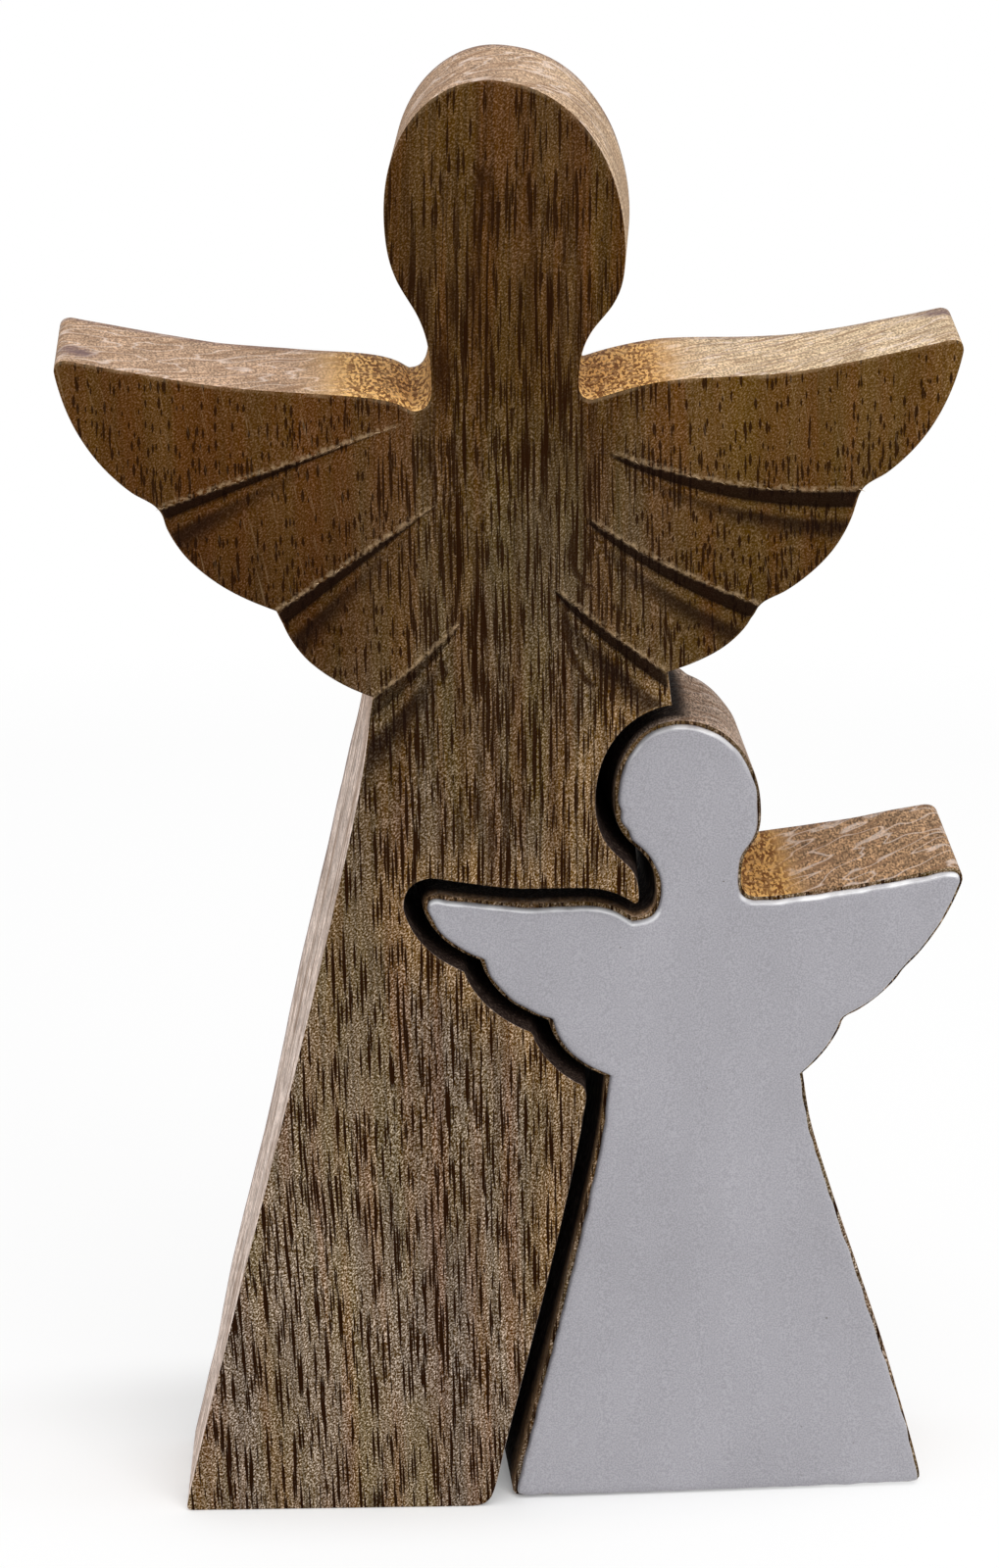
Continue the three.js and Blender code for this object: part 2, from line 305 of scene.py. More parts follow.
class Board:
    """A sawn board of the frame: its front, the way it faces and its outline, in millimetres."""

    def __init__(self, node):
        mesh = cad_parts[node].data
        rear = Vector((0, 0, 0))
        for face in mesh.polygons:
            if face.normal.y > 0.99:
                rear += face.normal * face.area
        self.rear = rear.normalized()
        self.across = Vector((self.rear.y, -self.rear.x, 0))
        depths = [vertex.co.dot(self.rear) for vertex in mesh.vertices]
        self.front = min(depths) / MM
        self.thickness = (max(depths) - min(depths)) / MM
        self.outline = self.cut_outline(mesh)
        self.middle = (self.outline[:, 0].min() + self.outline[:, 0].max()) / 2

    def cut_outline(self, mesh):
        """Cuts the solid at half its thickness and walks round the cut, with the material on the left."""
        cut = bmesh.new()
        cut.from_mesh(mesh)
        bmesh.ops.remove_doubles(cut, verts=cut.verts, dist=1e-6)
        bmesh.ops.bisect_plane(
            cut,
            geom=[*cut.verts, *cut.edges, *cut.faces],
            plane_co=self.rear * (self.front + self.thickness / 2) * MM,
            plane_no=self.rear,
            clear_inner=True,
            clear_outer=True,
        )
        cut.edges.ensure_lookup_table()
        edge = cut.edges[0]
        first = vertex = edge.verts[0]
        walk = []
        while not walk or vertex is not first:
            walk.append((vertex.co.dot(self.across) / MM, vertex.co.z / MM))
            vertex = edge.other_vert(vertex)
            edge = next(other for other in vertex.link_edges if other is not edge)
        cut.free()
        outline = np.array(walk)
        outline = outline[np.abs(turns(outline)) > STRAIGHT_TURN]
        ahead = np.roll(outline, -1, axis=0)
        turned_area = np.sum(outline[:, 0] * ahead[:, 1] - outline[:, 1] * ahead[:, 0])
        return outline if turned_area > 0 else outline[::-1]

    def place(self, flat, depth):
        """Places in the frame, in metres, of places on the board at a depth behind its front."""
        depth = np.broadcast_to(depth, len(flat))
        places = np.outer(flat[:, 0], self.across) + np.outer(self.front + depth, self.rear)
        places[:, 2] = flat[:, 1]
        return places * MM


def turns(outline):
    """Angle by which a closed outline turns at each of its places."""
    ahead = np.roll(outline, -1, axis=0) - outline
    behind = outline - np.roll(outline, 1, axis=0)
    cross = behind[:, 0] * ahead[:, 1] - behind[:, 1] * ahead[:, 0]
    return np.arctan2(cross, np.sum(behind * ahead, axis=1))


def smooth_step(low, high, value):
    """Rises smoothly from 0 at low to 1 at high, or falls if high is the lower one."""
    share = np.clip((value - low) / (high - low), 0, 1)
    return share * share * (3 - 2 * share)


def smooth_outline(outline, step):
    """Runs a smooth, evenly spaced curve through an outline's places and keeps its sharp corners."""
    corner = np.abs(turns(outline)) > CORNER_TURN
    on_floor = outline[:, 1] < 0.01
    places = []
    for i, start in enumerate(outline):
        j = (i + 1) % len(outline)
        end = outline[j]
        count = max(1, round(float(np.linalg.norm(end - start)) / step))
        shares = np.arange(count) / count
        if on_floor[i] and on_floor[j]:
            places.append(start + np.outer(shares, end - start))
            continue
        before = 2 * start - end if corner[i] or on_floor[i] else outline[i - 1]
        after = 2 * end - start if corner[j] or on_floor[j] else outline[(j + 1) % len(outline)]
        places.append(curve_between(before, start, end, after, shares))
    smooth = np.vstack(places)
    smooth[:, 1] = np.maximum(smooth[:, 1], 0)
    return smooth


def curve_between(before, start, end, after, shares):
    """A rounded run from start to end that leaves and arrives as its neighbours ask."""
    knots = [0.0]
    for a, b in ((before, start), (start, end), (end, after)):
        knots.append(knots[-1] + math.sqrt(max(float(np.linalg.norm(b - a)), 1e-6)))
    k0, k1, k2, k3 = knots
    t = (k1 + shares * (k2 - k1))[:, None]
    a1 = ((k1 - t) * before + (t - k0) * start) / (k1 - k0)
    a2 = ((k2 - t) * start + (t - k1) * end) / (k2 - k1)
    a3 = ((k3 - t) * end + (t - k2) * after) / (k3 - k2)
    b1 = ((k2 - t) * a1 + (t - k0) * a2) / (k2 - k0)
    b2 = ((k3 - t) * a2 + (t - k1) * a3) / (k3 - k1)
    return ((k2 - t) * b1 + (t - k1) * b2) / (k2 - k1)


def inward(outline):
    """The way into the material at each place, longer at a corner so that insets stay even."""
    ahead = np.roll(outline, -1, axis=0) - outline
    ahead /= np.linalg.norm(ahead, axis=1)[:, None]
    normal = np.stack([-ahead[:, 1], ahead[:, 0]], axis=1)
    both = normal + np.roll(normal, 1, axis=0)
    both /= np.linalg.norm(both, axis=1)[:, None]
    return both / np.maximum(np.sum(both * normal, axis=1), 0.6)[:, None]


def waver(places, size, seed=0.0):
    """Smooth unevenness between -1 and 1 whose bumps are about this size apart."""
    return np.array([noise.noise((x / size, z / size, seed)) for x, z in places])


def nearest(places, line):
    """Which place of a line is nearest to each place, and how far away it is."""
    tree = KDTree(len(line))
    for i, (x, z) in enumerate(line):
        tree.insert((x, z, 0), i)
    tree.balance()
    found = [tree.find((x, z, 0)) for x, z in places]
    return np.array([at for _, at, _ in found], int), np.array([gap for _, _, gap in found])


def distance_to(places, line):
    """Distance from each place to the nearest place of a line."""
    return nearest(places, line)[1]


def closed_line(outline, parts=5):
    """A closed outline with more places between its own, for measuring distances to it."""
    ahead = np.roll(outline, -1, axis=0)
    return np.vstack([outline + (ahead - outline) * i / parts for i in range(parts)])


def inside(ring, places):
    """Which places lie inside a closed ring."""
    ahead = np.roll(ring, -1, axis=0)
    found = []
    for x, z in places:
        crossed = (ring[:, 1] > z) != (ahead[:, 1] > z)
        a, b = ring[crossed], ahead[crossed]
        meets = a[:, 0] + (z - a[:, 1]) * (b[:, 0] - a[:, 0]) / (b[:, 1] - a[:, 1])
        found.append(np.sum(meets > x) % 2 == 1)
    return np.array(found, bool)


def staggered(ring, spacing):
    """Evenly staggered places inside a closed ring."""
    ahead = np.roll(ring, -1, axis=0)
    rows = [np.zeros((0, 2))]
    rise = spacing * math.sqrt(3) / 2
    for row, z in enumerate(np.arange(ring[:, 1].min() + rise / 2, ring[:, 1].max(), rise)):
        crossed = (ring[:, 1] > z) != (ahead[:, 1] > z)
        a, b = ring[crossed], ahead[crossed]
        meets = np.sort(a[:, 0] + (z - a[:, 1]) * (b[:, 0] - a[:, 0]) / (b[:, 1] - a[:, 1]))
        shift = spacing / 2 * (row % 2)
        for left, right in zip(meets[0::2], meets[1::2]):
            first = math.ceil((left - shift) / spacing) * spacing + shift
            across = np.arange(first, right, spacing)
            rows.append(np.stack([across, np.full(len(across), z)], axis=1))
    return np.vstack(rows)


def loose_places(ring, lines, reach):
    """Places to fill a ring: dense within reach of its edge and of the lines, and sparse elsewhere."""
    near = np.vstack([closed_line(ring), *lines])
    fine = staggered(ring, FINE_SPACING)
    gap = distance_to(fine, near)
    fine = fine[(gap > 0.55 * FINE_SPACING) & (gap < reach)]
    coarse = staggered(ring, COARSE_SPACING)
    coarse = coarse[distance_to(coarse, near) > reach + 0.3 * COARSE_SPACING]
    return np.vstack([fine, coarse])


def fill(ring, lines, loose):
    """Fills a ring, with the lines as edges: gives places, triangles and where the ring's places went."""
    places = np.vstack([ring, *lines, loose])
    edges = []
    start = len(ring)
    for line in lines:
        edges += [(start + i, start + i + 1) for i in range(len(line) - 1)]
        start += len(line)
    flat = [Vector(place) for place in places]
    made = delaunay_2d_cdt(flat, edges, [list(range(len(ring)))], 1, 1e-5)
    where = {origin: i for i, origins in enumerate(made[3]) for origin in origins}
    return np.array([tuple(place) for place in made[0]]), made[2], [where[i] for i in range(len(ring))]


class Stroke:
    """One carved feather stroke on the face of the large angel."""

    def __init__(self, inner, outer, sag, taper, breadth, wall_darkness, middle, carving):
        self.start = np.array(inner) + (middle, 0)
        run = np.array(outer) - np.array(inner)
        self.run = float(np.linalg.norm(run))
        self.along = run / self.run
        self.down = np.array((-self.along[1], self.along[0]))
        self.down *= -np.sign(self.down[1])
        self.sag = sag
        self.taper = taper
        self.breadth = breadth
        self.wall_darkness = wall_darkness
        self.carving = carving

    def share(self, places):
        """How far along the stroke each place is, from 0 where it runs out to 1 at the wing's edge."""
        return (places - self.start) @ self.along / self.run

    def below(self, places):
        """How far below the stroke's rim each place is."""
        share = self.share(places)
        return (places - self.start) @ self.down - 4 * self.sag * share * (1 - share)

    def sunk(self, share):
        """Depth of the stroke at each share of its length."""
        return self.carving.depth / MM * np.maximum(share, 0) ** self.taper

    def marks(self, share):
        """Where the wall, the facet and the hollow end below the rim."""
        scale = self.sunk(share) / self.carving.depth
        wall = scale * self.carving.wall * self.breadth
        facet = wall + scale * self.carving.facet
        return wall, facet, np.maximum(scale * self.carving.width, facet)

    def at(self, share, below):
        """Places at these shares of the stroke's length and this far below its start."""
        return self.start + np.outer(share * self.run, self.along) + np.outer(below, self.down)

    def depth(self, places):
        """How deep the stroke cuts at each place."""
        share = self.share(places)
        below = self.below(places)
        sunk = self.sunk(share)
        wall, facet, end = self.marks(share)
        left = self.carving.facet_share
        on_wall = sunk * below / np.maximum(wall, 1e-6)
        on_facet = sunk * (1 - (1 - left) * (below - wall) / np.maximum(facet - wall, 1e-6))
        fade = np.clip((end - below) / np.maximum(end - facet, 1e-6), 0, 1)
        in_hollow = sunk * left * fade ** 1.6
        cut = np.where(below < wall, on_wall, np.where(below < facet, on_facet, in_hollow))
        return np.where((below > 0) & (below < end), cut, 0)

    def tints(self, places):
        """Shares of torn rim, painted shade and scorch on the wall, painted shade and stain in the hollow
        and crowded pores at each place.
        """
        share = self.share(places)
        below = self.below(places)
        wall, facet, end = self.marks(share)
        cut = self.sunk(share) / (self.carving.depth / MM)
        rim = self.carving.rim / MM
        torn = smooth_step(0, 0.1, share) * np.clip(1 - np.abs(below + 0.5 * rim) / rim, 0, 1)
        # Painted shade with the gouge's scorch on the steep wall, and painted shade with stain in the
        # hollow
        scorched_and_shaded = self.wall_darkness * np.clip(4 * cut, 0, 1) * (below > 0.02) * (below < wall + 0.05)
        off = (below - facet) / np.maximum(end - facet, 1e-6)
        stained_and_shaded = np.clip(1.6 * cut - 0.3, 0, 1) * smooth_step(0, 0.25, off) * smooth_step(0.95, 0.35, off)
        crowded = smooth_step(0, 0.3, share) * (below < 0) * smooth_step(-8, -1, below)
        return np.stack([torn, scorched_and_shaded, stained_and_shaded, crowded], axis=1)

    def lines(self, ring):
        """Crease lines of the stroke, as far as they lie inside a ring."""
        share = np.linspace(0.04, 1.2, math.ceil(self.run / FINE_SPACING))
        wall, facet, _ = self.marks(share)
        rim = np.zeros_like(share)
        kept = []
        for below in (rim - self.carving.rim / MM, rim, wall, facet):
            drop = below + 4 * self.sag * share * (1 - share)
            line = self.at(share, drop)
            line = line[inside(ring, line)]
            kept.append(line[distance_to(line, closed_line(ring)) > 0.2])
        return [line for line in kept if len(line) > 1]


def saw_wander(flat, middle, settings):
    """How far the back of the large board strays from its front at each place of its outline."""
    x = flat[:, 0] - middle
    z = flat[:, 1]
    head = smooth_step(157, 172, z) * smooth_step(24, 18, np.abs(x))
    wing = smooth_step(10, 58, x) * smooth_step(112, 128, z)
    bulge = smooth_step(45, 75, z) * smooth_step(118, 100, z)
    hem = smooth_step(30, 12, z)
    gown = smooth_step(-5, -12, x) * (bulge - 0.9 * hem)
    across = head * settings.head_lean + wing * settings.wing_lean - gown * settings.gown_lean
    return np.stack([across, -wing * settings.wing_drop], axis=1) / MM


def small_wander(flat, middle, settings):
    """How far the back of the small board strays from its front at each place of its outline."""
    wing = smooth_step(6, 12, flat[:, 0] - middle) * smooth_step(58, 72, flat[:, 1])
    return np.stack([0 * wing, wing * settings.small_rise], axis=1) / MM


class Shell:
    """A closed mesh that grows from its face, ring by ring, to its back."""

    def __init__(self, places, triangles, ring_at):
        self.places = [places]
        self.faces = [tuple(triangle) for triangle in triangles]
        self.last = ring_at
        self.count = len(places)

    def add_ring(self, places):
        """Joins one more ring to the last one."""
        here = list(range(self.count, self.count + len(places)))
        for i, at in enumerate(here):
            j = (i + 1) % len(here)
            self.faces.append((self.last[i], at, here[j], self.last[j]))
        self.places.append(places)
        self.last = here
        self.count += len(places)

    def close(self, places, triangles, ring_at):
        """Fills the last ring with a back, and returns which of the back's places lie off that ring."""
        index = {at: self.last[i] for i, at in enumerate(ring_at)}
        off_ring = [i for i in range(len(places)) if i not in index]
        for i in off_ring:
            index[i] = self.count
            self.count += 1
        self.places.append(places[off_ring])
        self.faces += [tuple(index[i] for i in reversed(triangle)) for triangle in triangles]
        return off_ring

    def piece(self, name, sharp):
        """An object of the whole shell, smooth except at edges that turn by more than the sharp angle."""
        mesh = bpy.data.meshes.new(name)
        mesh.from_pydata(np.vstack(self.places).tolist(), [], self.faces)
        mesh.polygons.foreach_set("use_smooth", [True] * len(self.faces))
        mesh.set_sharp_from_angle(angle=sharp)
        return new_object(name, mesh)


def new_object(name, data):
    """Puts a mesh, a lamp or a camera into the scene."""
    made = bpy.data.objects.new(name, data)
    bpy.context.scene.collection.objects.link(made)
    return made


def face_places(ring, lines, strokes):
    """Loose places to fill a board's face, closer together along its edge and in its strokes."""
    loose = loose_places(ring, lines, FINE_REACH)
    shares = np.linspace(0.05, 1, 40)
    hollows = [
        stroke.at(shares, stroke.marks(shares)[2] * part)
        for stroke in strokes for part in (0.35, 0.6, 0.85)
    ]
    if not hollows:
        return loose
    extra = staggered(ring, HOLLOW_SPACING)
    extra = extra[distance_to(extra, np.vstack(hollows)) < FINE_REACH]
    extra = extra[distance_to(extra, loose) > FINE_SPACING]
    extra = extra[distance_to(extra, np.vstack([ring, *lines])) > 0.6 * FINE_SPACING]
    return np.vstack([loose, extra])


def edge_rings(ease, top, thickness):
    """Insets and depths of the rings over a board's front round, its sawn edge and its back round."""
    angles = [math.pi / 2 * k / EDGE_RINGS for k in range(1, EDGE_RINGS + 1)]
    rings = []
    for angle in angles:
        rings.append((ease * (1 - math.sin(angle)), top + ease * (1 - math.cos(angle))))
    for k in range(1, WALL_RINGS + 1):
        share = k / WALL_RINGS
        rings.append((0 * ease, (top + ease) * (1 - share) + (thickness - ease) * share))
    for angle in angles:
        rings.append((ease * (1 - math.cos(angle)), thickness - ease * (1 - math.sin(angle))))
    return rings


def build_board(name, board, settings, nest, notches, wander, strokes=()):
    """Makes one sawn board as a closed mesh, with the marks that its finish follows as attributes."""
    outline = smooth_outline(board.outline, settings.outline_step / MM)
    into = inward(outline)
    ease = settings.edge_round / MM * (1 + 0.35 * waver(outline, 5.0))
    in_nest = smooth_step(6.0, 4.0, distance_to(outline, nest)) * smooth_step(0, 4, outline[:, 1])
    wobble = waver(outline, 7.0, 4.0) * settings.saw_wobble / MM
    stray = wander(outline, board.middle, settings)
    stray += into * wobble[:, None] * (outline[:, 1:] > 1)
    stray -= into * (in_nest * settings.nest_lean / MM)[:, None]

    ring = outline + into * ease[:, None]
    lines = [line for stroke in strokes for line in stroke.lines(ring)]
    face, triangles, ring_at = fill(ring, lines, face_places(ring, lines, strokes))
    cut = np.zeros(len(face))
    for stroke in strokes:
        cut = np.maximum(cut, stroke.depth(face))
    edge = distance_to(face, closed_line(ring))
    sanded = settings.face_waver / MM * waver(face, 16.0, 2.0) * smooth_step(0, 4, edge)
    shell = Shell(board.place(face, cut + sanded), triangles, ring_at)
    flats = [face]
    edges = [edge]
    top = cut[ring_at]
    rings = edge_rings(ease, top, board.thickness)
    for inset, depth in rings:
        flat = outline + into * inset[:, None] + stray * (depth / board.thickness)[:, None]
        shell.add_ring(board.place(flat, depth))
        flats.append(flat)
        edges.append(depth - top)
    loose = staggered(flat, BACK_SPACING)
    loose = loose[distance_to(loose, closed_line(flat)) > 0.5 * BACK_SPACING]
    back, back_triangles, back_at = fill(flat, [], loose)
    off_ring = shell.close(board.place(back, board.thickness), back_triangles, back_at)
    flats = np.vstack([*flats, back[off_ring]])
    edges = np.concatenate([*edges, np.full(len(off_ring), FAR)])

    finish = [OILED] * len(triangles)
    for k in range(len(rings)):
        on_wall = EDGE_RINGS - 1 <= k < len(rings) - 1
        finish += [SAWN if on_wall else OILED] * len(outline)
    finish += [OILED] * len(back_triangles)
    piece = shell.piece(name, math.radians(32))
    piece.data.polygons.foreach_set("material_index", finish)

    upward = smooth_step(-0.2, -0.7, into[:, 1])
    rubbed = np.maximum(upward * (1 - in_nest), 0.4 * in_nest)
    lower = smooth_step(0.2, 0.7, into[:, 1])
    tints = np.zeros((len(flats), 4))
    tints[:len(face), 3] = lower[nearest(face, outline)[0]] * smooth_step(8, 1, edge)
    for stroke in strokes:
        tints[:len(face)] = np.maximum(tints[:len(face)], stroke.tints(face))
    marks = {
        "edge": edges,
        "nest": distance_to(flats, nest),
        "notch": distance_to(flats, np.array(notches) + (board.middle, 0)),
        "rubbed": rubbed[nearest(flats, outline)[0]],
    }
    for key, values in marks.items():
        mark = piece.data.attributes.new(key, "FLOAT", "POINT")
        mark.data.foreach_set("value", np.minimum(values, FAR))
    carved = piece.data.attributes.new("carved", "FLOAT_COLOR", "POINT")
    carved.data.foreach_set("color", tints.ravel())
    return piece


def nest_line(large, small):
    """The part of the large angel's outline that runs along the small angel."""
    outline = closed_line(smooth_outline(large.outline, MEASURED_STEP))
    beside = smooth_outline(small.outline, MEASURED_STEP)
    places = small.place(beside, small.thickness / 2) / MM
    return outline[distance_to(outline, places[:, [0, 2]]) < NEST_REACH]


def build_enamel(name, coat, wood, settings):
    """Makes the poured coat: an uneven rolled rim, thicker than the middle, with a few chips."""
    outline = smooth_outline(coat.outline, ENAMEL_STEP)
    into = inward(outline)
    inset = settings.inset / MM + settings.waver / MM * waver(outline, 2.6, 9.0)
    for x, z, size in ENAMEL_CHIPS:
        gap = np.linalg.norm(outline - (coat.middle + x, z), axis=1)
        inset += 0.4 * size * np.exp(-(gap / size) ** 2)
    outline = outline + into * inset[:, None]
    outline[:, 1] = np.maximum(outline[:, 1], ENAMEL_FOOT)
    full = wood.front - coat.front
    (inner, crest, _), *lower_rim = reversed(ENAMEL_RIM)
    ring = outline + into * inner
    face, triangles, ring_at = fill(ring, [], loose_places(ring, [], ENAMEL_REACH))
    edge = distance_to(face, closed_line(ring))
    rolled = settings.bead / MM * smooth_step(0.4, settings.bead_width / MM, edge)
    high = full * crest + (1 - crest) * full * smooth_step(0, 0.5, edge) - rolled
    high += 0.025 * waver(face, 9.0, 5.0) * smooth_step(0, 2, edge)
    shell = Shell(wood.place(face, -high), triangles, ring_at)
    # Share of the rim that faces up, where the painted highlight goes
    upper = smooth_step(-0.25, -0.75, into[:, 1])
    rim_highlights = [np.zeros(len(face))]
    for step, rise, white in lower_rim:
        flat = outline + into * step
        shell.add_ring(wood.place(flat, -rise * full))
        rim_highlights.append(upper * white)
    back, back_triangles, back_at = fill(flat, [], np.zeros((0, 2)))
    shell.close(wood.place(back, 0.0), back_triangles, back_at)
    piece = shell.piece(name, math.radians(60))
    # The bead attribute holds the painted highlight of the upper rims
    bead = piece.data.attributes.new("bead", "FLOAT", "POINT")
    bead.data.foreach_set("value", np.concatenate(rim_highlights))
    return piece


def new_material(name, **settings):
    """A material with one shader, whose settings that are the same all over are set on its sockets."""
    material = bpy.data.materials.new(name)
    material.use_nodes = True
    tree = material.node_tree
    tree.nodes.clear()
    sockets = {key.replace("_", " "): value for key, value in settings.items()}
    shader = add_node(tree, "ShaderNodeBsdfPrincipled", sockets)
    add_node(tree, "ShaderNodeOutputMaterial", [shader])
    return material, tree, shader


def place_in_mm(tree):
    """Where each place of a piece is, in millimetres."""
    coords = add_node(tree, "ShaderNodeTexCoord").outputs["Object"]
    return add_node(tree, "ShaderNodeVectorMath", {"Vector": coords, "Scale": 1 / MM}, operation="SCALE")


def layered(tree, tone, layers):
    """The tone with each layer's colour laid over it in turn, as far as the layer's share shows it."""
    for share, tint in layers:
        tone = add_node(tree, "ShaderNodeMix", [share, tone, tint], data_type="RGBA")
    return tone


def wood_places(tree):
    """Places on the wood in mm, their parts, and the same along the grain, which leans and wavers."""
    place = place_in_mm(tree)
    parts = add_node(tree, "ShaderNodeSeparateXYZ", [place])
    broad = add_node(tree, "ShaderNodeVectorMath", [place, (1 / 26, 1 / 26, 1 / 80)], operation="MULTIPLY")
    drift = add_node(tree, "ShaderNodeTexNoise", {"Vector": broad, "Scale": 1.0, "Detail": 0.5})
    drift = add_node(tree, "ShaderNodeMapRange", [drift, 0.0, 1.0, -1.8, 1.8], clamp=False)
    low = add_node(tree, "ShaderNodeMapRange", [parts.outputs["Z"], 0.0, 110.0, 0.0, 1.0])
    lean = add_node(tree, "ShaderNodeMath", [1.0, low], operation="SUBTRACT")
    lean = add_node(tree, "ShaderNodeMath", [lean, lean], operation="MULTIPLY")
    lean = add_node(tree, "ShaderNodeMath", [lean, -3.5, drift], operation="MULTIPLY_ADD")
    shift = add_node(tree, "ShaderNodeCombineXYZ", {"X": lean})
    grain = add_node(tree, "ShaderNodeVectorMath", [place, shift], operation="ADD")
    return place, parts, grain


def pores(tree, grain, width, long, room, share, seed):
    """Open pores of one size, as pointed slits along the grain, in cells as wide as room.

    Share is how many of the cells hold a pore.
    """
    parts = add_node(tree, "ShaderNodeSeparateXYZ", [grain])
    flat = add_node(tree, "ShaderNodeCombineXYZ", [parts.outputs["X"], parts.outputs["Z"], 0.0])
    size = (1 / room, width / (room * long), 0.0)
    shift = (seed, seed, 0.0)
    cells = add_node(tree, "ShaderNodeVectorMath", [flat, size, shift], operation="MULTIPLY_ADD")
    cells = add_node(
        tree, "ShaderNodeTexVoronoi", {"Vector": cells, "Scale": 1.0, "Exponent": 1.3},
        voronoi_dimensions="2D", distance="MINKOWSKI",
    )
    chance = add_node(tree, "ShaderNodeSeparateColor", [cells.outputs["Color"]])
    radius = width / (2 * room)
    reach = add_node(
        tree, "ShaderNodeMapRange", [chance.outputs["Red"], 0.0, 1.0, 0.6 * radius, 1.4 * radius]
    )
    gap = add_node(tree, "ShaderNodeMath", [reach, cells.outputs["Distance"]], operation="SUBTRACT")
    slit = add_node(tree, "ShaderNodeMapRange", [gap, 0.0, 0.25 * radius, 0.0, 1.0])
    held = add_node(tree, "ShaderNodeMath", [share, chance.outputs["Green"]], operation="GREATER_THAN")
    return add_node(tree, "ShaderNodeMath", [slit, held], operation="MULTIPLY")


def speckle(tree, place, sizes, low, high, least=0.0, most=1.0, detail=2.0):
    """Uneven pattern with bumps of these sizes in mm, spread from least at low to most at high."""
    scales = [1 / size for size in sizes]
    scaled = add_node(tree, "ShaderNodeVectorMath", [place, scales], operation="MULTIPLY")
    pattern = add_node(tree, "ShaderNodeTexNoise", {"Vector": scaled, "Scale": 1.0, "Detail": detail})
    return add_node(tree, "ShaderNodeMapRange", [pattern, low, high, least, most])


def near(tree, attribute, full, none, most=1.0):
    """Most within a distance of what an attribute measures, fading to 0 at another distance."""
    found = add_node(tree, "ShaderNodeAttribute", attribute_name=attribute).outputs["Fac"]
    return add_node(
        tree, "ShaderNodeMapRange", [found, full, none, most, 0.0], interpolation_type="SMOOTHSTEP"
    )


def product(tree, *factors):
    """All of the factors multiplied together."""
    result = factors[0]
    for factor in factors[1:]:
        result = add_node(tree, "ShaderNodeMath", [result, factor], operation="MULTIPLY")
    return result


def greatest(tree, *values):
    """The greatest of the values at each place."""
    result = values[0]
    for value in values[1:]:
        result = add_node(tree, "ShaderNodeMath", [result, value], operation="MAXIMUM")
    return result


def wood_zones(tree, wood, parts):
    """Colour of the oiled face by place, and how far a place lies on a wing and in the streaky middle."""
    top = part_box("large_angel")[1].z / MM
    height = add_node(tree, "ShaderNodeMath", [parts.outputs["Z"], top], operation="DIVIDE")
    # Colour by height; the paler gown near the floor is partly painted light
    tone = add_node(
        tree, "ShaderNodeValToRGB", [height],
        stops=((0.2, wood.gown), (0.54, wood.body), (0.7, wood.chest), (0.8, wood.head)),
    )
    aside = add_node(tree, "ShaderNodeMath", [parts.outputs["X"]], operation="ABSOLUTE")
    outer = add_node(
        tree, "ShaderNodeMapRange", [aside, *WING_ROOTS, 0.0, 1.0], interpolation_type="SMOOTHSTEP"
    )
    above_waist = add_node(tree, "ShaderNodeMapRange", [parts.outputs["Z"], *WAIST, 0.0, 1.0])
    below_head = add_node(tree, "ShaderNodeMapRange", [parts.outputs["Z"], *CHIN, 1.0, 0.0])
    winged = product(tree, outer, above_waist, below_head)
    right = add_node(tree, "ShaderNodeMapRange", [parts.outputs["X"], -30.0, 30.0, 0.0, 1.0])
    wing = add_node(tree, "ShaderNodeMix", [right, wood.wing_left, wood.wing_right], data_type="RGBA")
    # The wings darken towards the lower feathers, partly the wood's tone and partly painted shade
    lower_feather_shade = add_node(tree, "ShaderNodeMapRange", [parts.outputs["Z"], *WINGS, 0.75, 1.0])
    wing = add_node(tree, "ShaderNodeVectorMath", {"Vector": wing, "Scale": lower_feather_shade}, operation="SCALE")
    tone = add_node(tree, "ShaderNodeMix", [winged, tone, wing], data_type="RGBA")
    inner = add_node(
        tree, "ShaderNodeMapRange", [aside, *STREAKS_END, 1.0, 0.0], interpolation_type="SMOOTHSTEP"
    )
    rising = add_node(tree, "ShaderNodeMapRange", [parts.outputs["Z"], *BELLY, 0.3, 1.0])
    in_head = add_node(tree, "ShaderNodeMapRange", [parts.outputs["Z"], *NECK, 0.0, 0.95])
    under_crown = add_node(tree, "ShaderNodeMapRange", [parts.outputs["Z"], *CROWN, 1.0, 0.2])
    streaky = greatest(tree, product(tree, inner, rising), in_head)
    return tone, winged, product(tree, streaky, under_crown)


